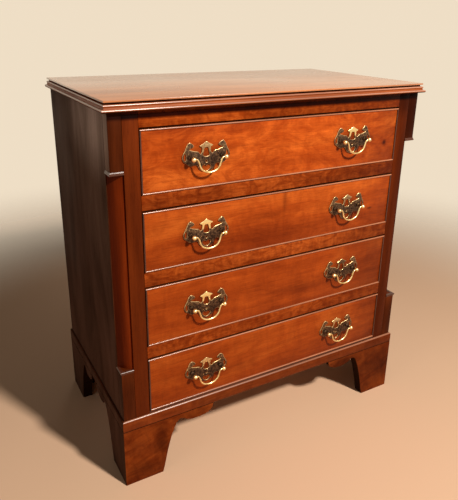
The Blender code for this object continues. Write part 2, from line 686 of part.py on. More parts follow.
# Drawers: a front with cock beads, a box of thin oak boards, and a pair of handles
def build_drawer(number, low, high, height):
    name = "drawer_%d" % number
    front_low = low + DRAWER_LIFT
    middle = front_low + height / 2
    line = middle - HANDLE_SINK
    slide = bpy.data.objects.new(name + "_slide", None)
    slide.location = (0, FACE_Y, middle)
    CHEST.objects.link(slide)
    start = slide.location

    shape = front_mesh(DRAWER_HALF, front_low, front_low + height)
    front = add_object(name + "_front", shape, FRONT_WOOD, slide, start)
    hole = POST_SHANK_RADIUS + SHANK_CLEARANCE
    cage = bmesh.new()
    for handle in (-1, 1):
        for side in (-1, 1):
            made = bmesh.ops.create_cone(cage, cap_ends=True, segments=SHANK_HOLE_SIDES, radius1=hole,
                                         radius2=hole, depth=2 * DRAWER_FRONT_THICKNESS)["verts"]
            spot = Vector((handle * HANDLE_OFFSET + side * POST_SPACING / 2,
                           FACE_Y + DRAWER_FRONT_THICKNESS / 2, line))
            bmesh.ops.transform(cage, matrix=Matrix.Translation(spot) @ OUTWARDS, verts=made)
    mesh = bpy.data.meshes.new(name + "_post_holes")
    cage.to_mesh(mesh)
    cage.free()
    tool = add_object(name + "_post_holes", mesh, BRIGHT_BRASS)
    make_cutter(tool)
    add_boolean(front, tool)

    behind = DRAWER_FRONT_THICKNESS + SEAT_GAP
    side_low = low + SEAT_GAP
    side_high = high - DRAWER_SIDE_HEAD
    inside = DRAWER_HALF - DRAWER_SIDE_THICKNESS
    for side, across in zip(("right", "left"), mirrored((inside, DRAWER_HALF))):
        board(name + "_side_" + side, across, (behind, DRAWER_LENGTH), (side_low, side_high),
              OAK, slide, start)
    across = (SEAT_GAP - inside, inside - SEAT_GAP)
    floor = side_low + DRAWER_BOTTOM_LIFT
    floor_top = floor + DRAWER_BOTTOM_THICKNESS
    board(name + "_bottom", across, (behind, DRAWER_LENGTH), (floor, floor_top), OAK, slide, start)
    board(name + "_back", across, (DRAWER_LENGTH - DRAWER_BACK_THICKNESS, DRAWER_LENGTH),
          (floor_top + SEAT_GAP, side_high - DRAWER_BACK_DROP), OAK, slide, start)
    build_handles(name, slide, line)


build_top()
build_case()
build_corners()
build_rails()
build_base()
build_feet()
for index, opening in enumerate(OPENINGS, 1):
    build_drawer(index, *opening)
for spare in (PLATE, POST, BAIL):
    bpy.data.meshes.remove(spare)
print("pieces", sum(1 for thing in CHEST.objects if thing.type == "MESH"), "height", round(TOTAL_HEIGHT, 4))
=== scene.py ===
import math

import bmesh
import bpy
from mathutils import Matrix, Vector


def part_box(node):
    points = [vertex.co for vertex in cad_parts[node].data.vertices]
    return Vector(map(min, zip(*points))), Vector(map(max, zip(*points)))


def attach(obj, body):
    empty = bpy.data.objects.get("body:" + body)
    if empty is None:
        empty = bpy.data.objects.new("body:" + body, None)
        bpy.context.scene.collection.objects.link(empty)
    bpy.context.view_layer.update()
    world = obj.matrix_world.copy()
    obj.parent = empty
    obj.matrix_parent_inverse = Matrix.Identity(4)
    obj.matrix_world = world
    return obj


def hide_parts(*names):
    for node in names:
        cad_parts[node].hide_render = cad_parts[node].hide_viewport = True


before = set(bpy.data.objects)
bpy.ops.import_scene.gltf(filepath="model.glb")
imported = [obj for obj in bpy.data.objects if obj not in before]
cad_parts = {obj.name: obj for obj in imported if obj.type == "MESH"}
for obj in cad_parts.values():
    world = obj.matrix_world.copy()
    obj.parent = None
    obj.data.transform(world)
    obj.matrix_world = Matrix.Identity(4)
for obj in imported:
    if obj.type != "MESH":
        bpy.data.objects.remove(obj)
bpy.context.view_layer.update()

# Room. The chest stands on a plain pale floor that fades out into an even pale surround, under a
# lamp high on the right, which throws the shadow to the left, and weak ones on the left and behind.
WALL_COLOUR = (0.86, 0.73, 0.56)
WALL_GLOW = 0.09
FLOOR_COLOUR = (0.71, 0.46, 0.305)
FLOOR_REACH = 7.0
FLOOR_FADE = (0.8, 2.1)
LAMPS = (
    ("high_right_lamp", (0.48, -1.95, 2.12), 0.22, 92.0, (1.0, 0.94, 0.85)),
    ("left_lamp", (-1.6, -0.62, 1.3), 0.6, 2.0, (1.0, 0.95, 0.87)),
    ("rear_lamp", (0.15, 1.05, 0.42), 0.4, 0.9, (1.0, 0.95, 0.88)),
)
LAMP_AIM = Vector((0.0, 0.0, 0.40))
CAMERA_PLACE = Vector((-0.6045, -1.03795, 0.8806))
CAMERA_TURN = (0.5205, -0.3371, 0.01604)
CAMERA_LENS = 39.98
CAMERA_SHIFT = (-0.00426, -0.0704)


def feed(tree, node, inputs):
    """Gives each input a plain value, or links it to an output, of a node to its first live one."""
    for name, value in inputs.items():
        if isinstance(value, bpy.types.Node):
            value = next(output for output in value.outputs if output.enabled)
        if isinstance(value, bpy.types.NodeSocket):
            tree.links.new(value, node.inputs[name])
        else:
            node.inputs[name].default_value = value


def add_node(tree, kind, inputs=None, **settings):
    """Adds a node, a shader node where the kind names no other family."""
    node = tree.nodes.new(kind if "Node" in kind else "ShaderNode" + kind)
    for setting, value in settings.items():
        setattr(node, setting, value)
    feed(tree, node, inputs or {})
    return node


def computed(tree, operation, *values):
    return add_node(tree, "Math", dict(enumerate(values)), operation=operation)


def faded(tree, value, start, end):
    """Rises softly from 0 to 1 while the value goes from start to end."""
    return add_node(tree, "MapRange", {"Value": value, "From Min": start, "From Max": end},
                    interpolation_type="SMOOTHSTEP")


def object_place(tree):
    return add_node(tree, "TexCoord").outputs["Object"]


def new_material(name):
    material = bpy.data.materials.new(name)
    material.use_nodes = True
    return material, material.node_tree, material.node_tree.nodes["Principled BSDF"]


def mesh_of(name, cage):
    mesh = bpy.data.meshes.new(name)
    cage.to_mesh(mesh)
    cage.free()
    return mesh


def in_scene(name, data):
    thing = bpy.data.objects.new(name, data)
    bpy.context.scene.collection.objects.link(thing)
    return thing


def pale_surround():
    """Seen and mirrored at its full colour, though it lights the chest only a little."""
    world = bpy.data.worlds.new("pale_surround")
    world.use_nodes = True
    tree = world.node_tree
    tree.nodes.clear()
    ray = add_node(tree, "LightPath").outputs
    seen = ray["Is Camera Ray"]
    for kind in ("Is Glossy Ray", "Is Transmission Ray"):
        seen = computed(tree, "MAXIMUM", seen, ray[kind])
    glow, full = (add_node(tree, "Background", {"Color": (*WALL_COLOUR, 1.0), "Strength": strength})
                  for strength in (WALL_GLOW, 1.0))
    mix = add_node(tree, "MixShader", {"Fac": seen, 1: glow, 2: full})
    add_node(tree, "OutputWorld", {"Surface": mix})
    bpy.context.scene.world = world


def pale_floor():
    material, tree, shader = new_material("pale_floor")
    feed(tree, shader, {"Base Color": (*FLOOR_COLOUR, 1.0), "Roughness": 0.9, "Specular IOR Level": 0.1})
    reach = add_node(tree, "VectorMath", {0: object_place(tree)}, operation="LENGTH")
    clear = add_node(tree, "BsdfTransparent")
    mix = add_node(tree, "MixShader", {"Fac": faded(tree, reach, *FLOOR_FADE), 1: shader, 2: clear})
    feed(tree, tree.nodes["Material Output"], {"Surface": mix})
    cage = bmesh.new()
    bmesh.ops.create_circle(cage, cap_ends=True, segments=96, radius=FLOOR_REACH)
    floor = in_scene("floor", mesh_of("floor", cage))
    floor.data.materials.append(material)


def hang_lamp(name, place, size, power, colour):
    lamp = bpy.data.lights.new(name, "AREA")
    lamp.shape = "DISK"
    lamp.size = size
    lamp.energy = power
    lamp.color = colour
    thing = in_scene(name, lamp)
    thing.location = place
    thing.rotation_euler = (LAMP_AIM - Vector(place)).to_track_quat("-Z", "Y").to_euler()


def set_camera():
    """The camera stands at the left front, a little above the top, and looks down at the chest."""
    yaw, pitch, roll = CAMERA_TURN
    forward = Vector((math.sin(yaw) * math.cos(pitch), math.cos(yaw) * math.cos(pitch), math.sin(pitch)))
    level = Vector((math.cos(yaw), -math.sin(yaw), 0.0))
    rise = level.cross(forward)
    right = math.cos(roll) * level + math.sin(roll) * rise
    up = math.cos(roll) * rise - math.sin(roll) * level
    camera = bpy.data.cameras.new("camera")
    camera.lens = CAMERA_LENS
    camera.shift_x, camera.shift_y = CAMERA_SHIFT
    thing = in_scene("camera", camera)
    turn = Matrix((right, up, -forward)).transposed().to_4x4()
    thing.matrix_world = Matrix.Translation(CAMERA_PLACE) @ turn
    bpy.context.scene.camera = thing


pale_surround()
pale_floor()
for lamp in LAMPS:
    hang_lamp(*lamp)
set_camera()
bpy.context.scene.view_settings.view_transform = "Standard"


# Top board. One wide mahogany board with a thin square-edged lip worked round its front and ends,
# French polished, so that it mirrors the pale room at a low angle. Its arrises are rubbed soft.
WHITE = (1.0, 1.0, 1.0)
# The tint of dark marks: knots, feathers and dirt, and also painted shade and shadow.
DARK_MARK_TINT = (0.20, 0.12, 0.10)
UNTURNED = (0.0, 0.0, 0.0)
MARK_CORE, MARK_EDGE = 0.3, 2.4


def ramp(tree, value, stops):
    """The colour that the value finds between (position, colour) stops."""
    made = add_node(tree, "ValToRGB", {"Fac": value})
    elements = made.color_ramp.elements
    while len(elements) < len(stops):
        elements.new(0.5)
    for element, (position, colour) in zip(elements, stops):
        element.position = position
        element.color = (*colour, 1.0)
    return made


def polished_wood(name, dark, middle, light, grain_turn=UNTURNED, figure=3.0, stripe=0.0, gloss=0.3,
                  shine=0.04, coat=0.0, seed=0.0, swirl=0.0, curl_size=12.0, marks=(), shaded_end=None):
    """Polished timber whose grain runs along X before the turn.

    Broad figure, growth lines, fine fibres, open pores, cross stripe and swirl, which is curly light
    figure, are laid over each other. Marks are (place, radii, depth) knots, feathers, dirt, and painted
    shade and shadow; with a pale tint added, a mark is a painted reflection. The shaded end is (axis,
    start, end), where the board grows darker, painted shade for light that falls off.
    """
    material, tree, shader = new_material(name)
    place = object_place(tree)
    turn = add_node(tree, "Mapping", {
        "Vector": place, "Rotation": grain_turn, "Location": (seed, seed * 0.37, seed * 0.61)})

    def stretched(scale, slant=UNTURNED):
        return add_node(tree, "Mapping", {"Vector": turn, "Rotation": slant, "Scale": scale})

    def noise(scale, size, detail, roughness=0.5, distortion=0.0, slant=UNTURNED):
        return add_node(tree, "TexNoise", {
            "Vector": stretched(scale, slant), "Scale": size, "Detail": detail, "Roughness": roughness,
            "Distortion": distortion})

    def shaded(colour, value, stops, amount=1.0):
        return add_node(tree, "Mix", {"Factor": amount, "A": colour, "B": ramp(tree, value, stops)},
                        data_type="RGBA", blend_type="MULTIPLY")

    figured = noise((1.0, figure, figure), 2.6, 5.0, 0.55, 0.9)
    colour = ramp(tree, figured, ((0.30, dark), (0.50, middle), (0.70, light)))
    lines = add_node(tree, "TexWave", {
        "Vector": stretched((0.22, 1.0, 1.0)), "Scale": 9.0, "Distortion": 7.0, "Detail": 3.0,
        "Detail Scale": 1.2}, bands_direction="Z")
    colour = shaded(colour, lines.outputs["Fac"], ((0.0, (0.80, 0.74, 0.70)), (0.55, WHITE)), 0.55)
    fibres = noise((3.0, 130.0, 130.0), 5.0, 3.0, 0.6)
    colour = shaded(colour, fibres, ((0.32, (0.66, 0.60, 0.56)), (0.58, WHITE)), 0.6)
    pores = noise((22.0, 620.0, 620.0), 3.0, 2.0)
    colour = shaded(colour, pores, ((0.30, (0.45, 0.36, 0.32)), (0.42, WHITE)), 0.5)
    if stripe:
        bands = noise((34.0, 6.0, 9.0), 1.9, 5.0, 0.6, 1.1, slant=(0.0, 0.6, 0.0))
        colour = shaded(colour, bands, ((0.38, (0.50, 0.40, 0.38)), (0.60, WHITE)), stripe)
    if swirl:
        curls = noise((1.0, 2.0, 2.0), curl_size, 7.0, 0.68, 2.2)
        colour = shaded(colour, curls, ((0.40, (0.72, 0.60, 0.50)), (0.62, (1.22, 1.36, 1.5))), swirl)
    for spot, radii, depth, *tints in marks:
        tint = tints[0] if tints else DARK_MARK_TINT
        halfway = tuple((part + 1) / 2 for part in tint)
        offset = add_node(tree, "Mapping", {"Vector": place, "Location": spot, "Scale": radii},
                          vector_type="TEXTURE")
        away = add_node(tree, "VectorMath", {0: offset}, operation="LENGTH")
        away = faded(tree, away, MARK_CORE, MARK_EDGE)
        colour = shaded(colour, away, ((0.0, tint), (0.4, halfway), (1.0, WHITE)), depth)
    # Painted shade: the board grows darker along the axis, for light that falls off.
    if shaded_end:
        axis, start, end = shaded_end
        along = add_node(tree, "SeparateXYZ", {"Vector": place}).outputs[axis]
        colour = shaded(colour, faded(tree, along, start, end), ((0.0, WHITE), (1.0, (0.55, 0.5, 0.5))))
    wear_and_sheen = add_node(tree, "MapRange", {
        "Value": noise((1.0, 1.0, 1.0), 7.0, 3.0), "From Min": 0.3, "From Max": 0.7,
        "To Min": gloss * 0.85, "To Max": gloss * 1.25})
    ripple = add_node(tree, "Bump", {"Height": fibres, "Strength": 0.06, "Distance": 0.0004})
    feed(tree, shader, {"Base Color": colour, "Roughness": wear_and_sheen, "Specular IOR Level": shine,
                        "Coat Weight": coat, "Coat Roughness": 0.2, "Normal": ripple})
    return material


def seated(thing, body, node):
    """Seats a piece on its body, in the place of its CAD node where it has one."""
    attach(thing, body)
    if node:
        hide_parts(node)


def finished(name, cage, materials, node, body="carcase", sharp=35.0):
    """Makes the object of a finished cage, smooth up to the sharp angle in degrees, and seats it."""
    bmesh.ops.recalc_face_normals(cage, faces=cage.faces)
    for face in cage.faces:
        face.smooth = True
    for edge in cage.edges:
        if edge.calc_face_angle(0.0) > math.radians(sharp):
            edge.smooth = False
    thing = in_scene(name, mesh_of(name, cage))
    for material in materials:
        thing.data.materials.append(material)
    seated(thing, body, node)


def add_block(cage, one_corner, other_corner, arris=0.0, material=0):
    """A squared block between two corners, its edges eased by the arris."""
    low = Vector(map(min, one_corner, other_corner))
    high = Vector(map(max, one_corner, other_corner))
    known = set(cage.faces)
    made = bmesh.ops.create_cube(cage, size=1.0)
    bmesh.ops.scale(cage, vec=high - low, verts=made["verts"])
    bmesh.ops.translate(cage, vec=(low + high) / 2, verts=made["verts"])
    if arris:
        edges = {edge for vertex in made["verts"] for edge in vertex.link_edges}
        bmesh.ops.bevel(cage, geom=list(edges), offset=arris, segments=2, profile=0.5, affect="EDGES")
    for face in set(cage.faces) - known:
        face.material_index = material


top_low, top_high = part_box("top_board")
LIP_THICKNESS = 0.0032
LIP_PAST_CORE = 0.0045
LIP_ARRIS = 0.0009
BACK_RECESS = 0.001
top_mahogany = polished_wood(
    "top_mahogany", (0.44, 0.145, 0.045), (0.56, 0.195, 0.062), (0.66, 0.24, 0.080), figure=5.0, gloss=0.26,
    shine=0.6, coat=0.8, seed=3.1)
# Near-black mahogany, painted shade, laid where only shade falls: quirks, gaps and undersides.
shade_mahogany = polished_wood(
    "shade_mahogany", (0.035, 0.009, 0.003), (0.06, 0.015, 0.005), (0.09, 0.022, 0.008), figure=4.0,
    gloss=0.6, shine=0.02, seed=3.8)
cage = bmesh.new()
add_block(cage, (top_low.x, top_low.y, top_high.z - LIP_THICKNESS), top_high, LIP_ARRIS)
# The core under the lip takes the near-black material, painted shade in the quirk.
add_block(cage, (top_low.x + LIP_PAST_CORE, top_low.y + LIP_PAST_CORE, top_low.z),
          (top_high.x - LIP_PAST_CORE, top_high.y - BACK_RECESS, top_high.z - LIP_THICKNESS / 2), 0.0002, 1)
finished("polished_top", cage, [top_mahogany, shade_mahogany], "top_board")


# Top moulding. Three lengths of mahogany, mitred at the front corners and glued under the lip, with
# a quirk painted dark as shade between: a bead, a hollow and a bold nose, both rounds paler above, a
# painted highlight, and dark below, painted shade.
def join_rings(cage, first, second):
    """The walls between two closed rings of points."""
    count = len(first)
    return [cage.faces.new((first[n], first[(n + 1) % count], second[(n + 1) % count], second[n]))
            for n in range(count)]


def swept(cage, profile, stations, closed=False, up_is=(0, 0, 1)):
    """Skins a profile of (outward, up) points that is carried from station to station.

    Each station is a corner point and the way that one metre outwards leads there, mitre included.
    """
    rings = [[cage.verts.new(Vector(corner) + Vector(lean) * out + Vector(up_is) * up) for out, up in profile]
             for corner, lean in stations]
    for first, second in zip(rings, rings[1:]):
        join_rings(cage, first, second)
    if closed:
        join_rings(cage, rings[-1], rings[0])
    else:
        cage.faces.new(rings[0])
        cage.faces.new(rings[-1][::-1])
    for ring in rings:
        for here, there in zip(ring, ring[1:] + ring[:1]):
            cage.edges.get((here, there)).smooth = False
    bmesh.ops.recalc_face_normals(cage, faces=cage.faces)


def smooth_line(points, steps, closed=False):
    """The same points joined by an even curve through all of them."""
    points = [Vector(point) for point in points]
    if closed:
        before, after = points[-1:], points[:2]
    else:
        before, after = [points[0] * 2 - points[1]], [points[-1] * 2 - points[-2]]
    track = before + points + after
    line = []
    for a, b, c, d in zip(track, track[1:], track[2:], track[3:]):
        for t in (step / steps for step in range(steps)):
            line.append(0.5 * (2 * b + (c - a) * t + (2 * a - 5 * b + 4 * c - d) * t * t
                               + (3 * b - a - 3 * c + d) * t ** 3))
    return line if closed else line + points[-1:]


def round_the_case():
    """The stations of a moulding round the front and both ends: back left, corners, back right."""
    return (((-case_half, case_back, 0), (-1, 0, 0)), ((-case_half, case_front, 0), (-1, -1, 0)),
            ((case_half, case_front, 0), (1, -1, 0)), ((case_half, case_back, 0), (1, 0, 0)))


post_low, post_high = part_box("corner_post_right")
stile_low, stile_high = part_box("stile_right")
side_low, side_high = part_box("side_right")
case_half = side_high.x
case_front = stile_low.y
case_top = stile_high.z
case_back = side_high.y
mould_low, mould_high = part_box("top_moulding")
MOULD_FACE = ((0.0040, 1.0), (0.0052, 0.985), (0.0061, 0.93), (0.0065, 0.84), (0.0063, 0.76), (0.0057, 0.70),
              (0.0056, 0.62), (0.0058, 0.53), (0.0063, 0.46), (0.0073, 0.42), (0.0086, 0.405), (0.0097, 0.37),
              (0.0104, 0.30), (0.0107, 0.21), (0.0105, 0.12), (0.0098, 0.04), (0.0086, 0.0))
MOULD_INNER = 0.0012
NOSE_UNDERSIDE, NOSE_FROM, HOLLOW_FROM, HOLLOW_TO = 0.15, 0.20, 0.42, 0.84
rise = mould_high.z - mould_low.z
reach = mould_high.x - case_half
outline = smooth_line([(out, mould_low.z + up * rise) for out, up in MOULD_FACE], 3)
cage = bmesh.new()
swept(cage, [(MOULD_INNER, mould_high.z)] + [(min(out, reach), height) for out, height in outline]
      + [(MOULD_INNER, mould_low.z)], round_the_case())
moulding_mahogany = polished_wood(
    "moulding_mahogany", (0.16, 0.034, 0.007), (0.27, 0.060, 0.012), (0.38, 0.095, 0.020), gloss=0.45,
    shine=0.2, seed=5.2)
# Paler glossy mahogany on the up-facing faces of the rounds, a painted highlight.
highlight_mahogany = polished_wood(
    "highlight_mahogany", (0.34, 0.14, 0.085), (0.46, 0.21, 0.135), (0.58, 0.29, 0.19), gloss=0.25, shine=0.4,
    coat=0.25, seed=5.7)
# Up-facing faces of the rounds take the painted highlight; the underside of the nose takes painted shade.
for face in cage.faces:
    share = (face.calc_center_median().z - mould_low.z) / rise
    rounded = share > HOLLOW_TO or NOSE_FROM < share < HOLLOW_FROM
    painted_highlight = rounded and 0.15 < face.normal.z < 0.99
    face.material_index = 1 if painted_highlight else 2 if share < NOSE_UNDERSIDE else 0
finished("top_edge_moulding", cage, [moulding_mahogany, highlight_mahogany, shade_mahogany], "top_moulding",
         sharp=50.0)


# Case sides. Two upright-grained mahogany boards, darkened with age and duller than the front. Pine
# guides that keep the drawers straight are glued to their inner faces behind the stiles.
UPRIGHT = (0.0, math.pi / 2, 0.0)
FRONT_TO_BACK = (0.0, 0.0, math.pi / 2)
SIDES = ((1, "right"), (-1, "left"))
SEAT_GAP = 0.0003
TUCK = 0.001
GUIDE_HEIGHT = 0.0137
GUIDE_BACK_ROOM = 0.012
PINE_TONES = ((0.28, 0.145, 0.062), (0.39, 0.215, 0.098), (0.49, 0.29, 0.145))
OUTER_FACE = -0.343
# Painted shade high at the back of each side, and a pale painted reflection high at the front.
SIDE_SHADE_AND_REFLECTION = (((OUTER_FACE, 0.20, 0.66), (0.5, 0.12, 0.30), 0.55),
              ((OUTER_FACE, -0.12, 0.725), (0.5, 0.115, 0.055), 1.0, (3.4, 4.4, 5.3)))


def planed_wood(name, tones, grain_turn, roughness, seed):
    return polished_wood(name, *tones, grain_turn, figure=8.0, gloss=roughness, shine=0.25, seed=seed)


def sided(point, side):
    """The point, or its mirror image on the left side."""
    return Vector((side * point[0], point[1], point[2]))


# The side grows darker towards the bottom, painted shade.
side_mahogany = polished_wood(
    "side_mahogany", (0.098, 0.052, 0.035), (0.168, 0.094, 0.065), (0.25, 0.145, 0.105), UPRIGHT,
    figure=5.0, gloss=0.5, shine=0.002, seed=7.7, marks=SIDE_SHADE_AND_REFLECTION, shaded_end=("Z", 0.66, 0.36))
inside_pine = planed_wood("inside_pine", PINE_TONES, UNTURNED, 0.6, 12.0)
runner_pine = planed_wood("runner_pine", PINE_TONES, FRONT_TO_BACK, 0.6, 13.0)
board_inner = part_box("back_board")[1].x + SEAT_GAP
for side, name in SIDES:
    cage = bmesh.new()
    add_block(cage, sided((board_inner, side_low.y, side_low.z), side), sided(side_high, side), 0.0005)
    for face in cage.faces:
        # The front edge of each side takes the near-black material, painted shade.
        face.material_index = 2 if face.normal.y < -0.2 else 0
    for number in range(1, 5):
        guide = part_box("drawer_%d_side_right" % number)[0].z
        near = (side_low.x, side_low.y + TUCK, guide)
        far = (board_inner + TUCK, side_high.y - GUIDE_BACK_ROOM, guide + GUIDE_HEIGHT)
        add_block(cage, sided(near, side), sided(far, side), 0.0012, 1)
    finished("case_side_" + name, cage, [side_mahogany, runner_pine, shade_mahogany], "side_" + name)


# Stiles and rails. The face frame: upright stiles in straight-grained mahogany, and pine rails faced
# with thick mahogany whose stripe runs across them. Two oak stops for the drawer stand on each rail.
STOP_OFFSET = 0.150
STOP_WIDTH = 0.030
STOP_START = 0.0203
STOP_LENGTH = 0.022
STOP_HEIGHT = 0.004
FACING_DEPTH = 0.007
OAK_TONES = ((0.36, 0.205, 0.09), (0.48, 0.29, 0.135), (0.57, 0.365, 0.185))
# Painted shadow of the top moulding on the face of the case under it.
UNDER_MOULDING_SHADOW = (0.0, case_top - 0.0088, 5.0, 0.0032, 1.0, 0.05)
# A darker patch at the top of the right stile.
UPPER_RIGHT_DARK_PATCH = (0.312, 0.720, 0.030, 0.016, 0.6, 0.05)


def front_marks(*rows):
    """Marks on the face of the case from rows of x, z, half width, half height, depth and reach inwards."""
    return [((x, case_front, z), (half_width, reach, half_height), depth)
            for x, z, half_width, half_height, depth, reach in rows]


# Stiles, rails and frieze grow darker towards the right end, painted shade.
stile_mahogany = polished_wood(
    "stile_mahogany", (0.068, 0.010, 0.0015), (0.115, 0.018, 0.0025), (0.175, 0.028, 0.004), UPRIGHT,
    figure=7.0, seed=1.3, marks=front_marks(UNDER_MOULDING_SHADOW, UNDER_MOULDING_SHADOW, UPPER_RIGHT_DARK_PATCH),
    shaded_end=("X", 0.0, 0.42))
rail_mahogany = polished_wood(
    "rail_mahogany", (0.205, 0.035, 0.005), (0.335, 0.058, 0.007), (0.465, 0.092, 0.013), stripe=0.5,
    swirl=1.0, curl_size=24.0, seed=2.6, shaded_end=("X", -0.02, 0.34))
frieze_mahogany = polished_wood(
    "frieze_mahogany", (0.27, 0.045, 0.005), (0.43, 0.074, 0.008), (0.58, 0.113, 0.014), stripe=0.45,
    swirl=0.9, curl_size=24.0, seed=2.9, marks=front_marks(UNDER_MOULDING_SHADOW, UNDER_MOULDING_SHADOW),
    shaded_end=("X", -0.16, 0.22))
drawer_oak = planed_wood("drawer_oak", OAK_TONES, FRONT_TO_BACK, 0.55, 14.0)


def add_stops(cage, level, material):
    start = case_front + STOP_START
    for middle in (STOP_OFFSET, -STOP_OFFSET):
        add_block(cage, (middle - STOP_WIDTH / 2, start, level - TUCK),
                  (middle + STOP_WIDTH / 2, start + STOP_LENGTH, level + STOP_HEIGHT), 0.0008, material)


for side, name in SIDES:
    cage = bmesh.new()
    add_block(cage, sided(stile_low, side), sided(stile_high, side), 0.0005)
    finished("face_stile_" + name, cage, [stile_mahogany], "stile_" + name)
for name in ("top_rail", "drawer_rail_1", "drawer_rail_2", "drawer_rail_3"):
    low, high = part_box(name)
    level = high.z if name == "top_rail" else high.z - STOP_HEIGHT
    cage = bmesh.new()
    add_block(cage, low, (high.x, low.y + FACING_DEPTH, level), 0.0004)
    add_block(cage, (low.x, low.y + FACING_DEPTH, low.z), (high.x, high.y, level), 0.0004, 1)
    if name != "top_rail":
        add_stops(cage, level, 2)
    facing = frieze_mahogany if name == "top_rail" else rail_mahogany
    finished("faced_" + name, cage, [facing, inside_pine, drawer_oak], name)


# Corner posts. Square mahogany blocks above and below a canted length with a quirk cut beside the
# stile. Each block ends in a small two-member moulding that stands a little proud.
# Darker patches on the four blocks.
BLOCK_DARK_PATCHES = ((-0.331, 0.200, 0.030, 0.035, 0.55, 0.03), (-0.331, 0.690, 0.030, 0.060, 0.3, 0.05),
            (0.331, 0.690, 0.030, 0.060, 0.9, 0.05), (0.331, 0.200, 0.030, 0.045, 0.7, 0.05))
UPPER_BLOCK_HEIGHT = 0.104
LOWER_BLOCK_TOP = 0.261
CAP_HEIGHT = 0.006
CAP_PROUD = 0.002
CAP_MEMBERS = ((0.0, 0.0), (0.45, 0.0), (0.80, 0.10), (1.0, 0.24), (0.96, 0.38), (0.70, 0.47),
               (0.50, 0.50), (0.55, 0.62), (0.50, 0.74), (0.28, 0.86), (0.08, 0.93), (0.0, 1.0))
CANT_BULGE = 0.0009
CANT_SEGMENTS = 12
CANT_START = (0.0022, 0.0015)
CANT_END = 0.0015
QUIRK = ((0.0, 0.0035), (0.0012, 0.0048))
CAP_LINE = 0.0006
LET_IN = 0.004
post_mahogany = polished_wood(
    "post_mahogany", (0.060, 0.011, 0.002), (0.105, 0.020, 0.004), (0.165, 0.033, 0.007), UPRIGHT,
    figure=6.0, seed=8.4, marks=front_marks(*BLOCK_DARK_PATCHES, UNDER_MOULDING_SHADOW))
# The cant grows darker towards the side, painted shade in the recess.
cant_mahogany = polished_wood(
    "cant_mahogany", (0.100, 0.0125, 0.002), (0.175, 0.0225, 0.003), (0.27, 0.038, 0.005), UPRIGHT,
    figure=7.0, seed=8.9, shaded_end=("Y", case_front + 0.003, case_front + 0.018))
cap_mahogany = polished_wood(
    "cap_mahogany", (0.045, 0.012, 0.006), (0.08, 0.022, 0.011), (0.12, 0.036, 0.019), gloss=0.36,
    shine=0.3, coat=0.25, seed=6.9)


def add_cap(cage, side, low, turned_over):
    """The moulding under an upper block, or turned over on a lower one, round front and side."""
    profile = [(out * CAP_PROUD, low + (1.0 - up if turned_over else up) * CAP_HEIGHT)
               for out, up in CAP_MEMBERS]
    profile += [(-LET_IN, profile[-1][1]), (-LET_IN, profile[0][1])]
    before = set(cage.faces)
    swept(cage, profile, (((side * post_low.x, case_front, 0), (0, -1, 0)),
                          ((side * case_half, case_front, 0), (side, -1, 0)),
                          ((side * case_half, post_high.y, 0), (side, 0, 0))))
    for face in set(cage.faces) - before:
        face.material_index = 1


def add_prism(cage, first, second):
    """A solid between two outlines of as many points: its walls, then its first and second end."""
    rings = [[cage.verts.new(point) for point in outline] for outline in (first, second)]
    return join_rings(cage, *rings) + [cage.faces.new(rings[0]), cage.faces.new(rings[1][::-1])]


def canted_post(side):
    upper_low = post_high.z - UPPER_BLOCK_HEIGHT + SEAT_GAP
    cage = bmesh.new()
    for low, high in ((upper_low + CAP_LINE, post_high.z), (post_low.z, LOWER_BLOCK_TOP - CAP_LINE)):
        add_block(cage, (side * post_low.x, case_front, low), (side * case_half, post_high.y, high), 0.0007)
    bmesh.ops.recalc_face_normals(cage, faces=cage.faces)
    for face in cage.faces:
        if face.normal.x * side > 0.95:
            face.material_index = 2
    add_cap(cage, side, upper_low, False)
    add_cap(cage, side, LOWER_BLOCK_TOP - CAP_HEIGHT, True)

    stile_corner = Vector((post_low.x, case_front))
    start = stile_corner + Vector(CANT_START)
    along = Vector((case_half - CANT_END, post_high.y)) - start
    outward = Vector((along.y, -along.x)).normalized()
    outline = [start + along * share + outward * CANT_BULGE * math.sin(math.pi * share)
               for share in (n / CANT_SEGMENTS for n in range(CANT_SEGMENTS + 1))]
    outline += [Vector((post_low.x, post_high.y))] + [stile_corner + Vector(point) for point in QUIRK]
    ends = [[(side * point.x, point.y, level) for point in outline]
            for level in (LOWER_BLOCK_TOP - LET_IN, upper_low + LET_IN)]
    for face in add_prism(cage, *ends):
        face.material_index = 3
    return cage


for side, name in SIDES:
    finished("canted_corner_" + name, canted_post(side),
             [post_mahogany, cap_mahogany, side_mahogany, cant_mahogany], "corner_post_" + name)


# Base moulding. A flat band in three mitred lengths with a quarter round worked on its upper edge,
# glued and pinned round the foot of the case. The feet are fixed under it.
base_low, base_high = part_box("base_moulding")
band = base_high.x - case_half
ROUND_RADIUS = 0.0036
JOINT_EASE = 0.0008
ROUND_STEPS = 8
profile = [(SEAT_GAP, base_low.z), (band - JOINT_EASE, base_low.z), (band, base_low.z + JOINT_EASE)]
for step in range(ROUND_STEPS + 1):
    angle = math.pi / 2 * step / ROUND_STEPS
    profile.append((band - ROUND_RADIUS * (1 - math.cos(angle)),
                    base_high.z - ROUND_RADIUS * (1 - math.sin(angle))))
profile.append((SEAT_GAP, base_high.z))
cage = bmesh.new()
swept(cage, profile, round_the_case())
# The quarter round on the front takes the paler glossy material, a painted highlight; the front ledge and the
# round along the sides take the near-black one, painted shade.
for face in cage.faces:
    on_the_side = abs(face.calc_center_median().x) > case_half
    ledge = face.normal.z > (0.3 if on_the_side else 0.998)
    face.material_index = 3 if ledge else 1 if on_the_side else 2 if face.normal.z > 0.3 else 0
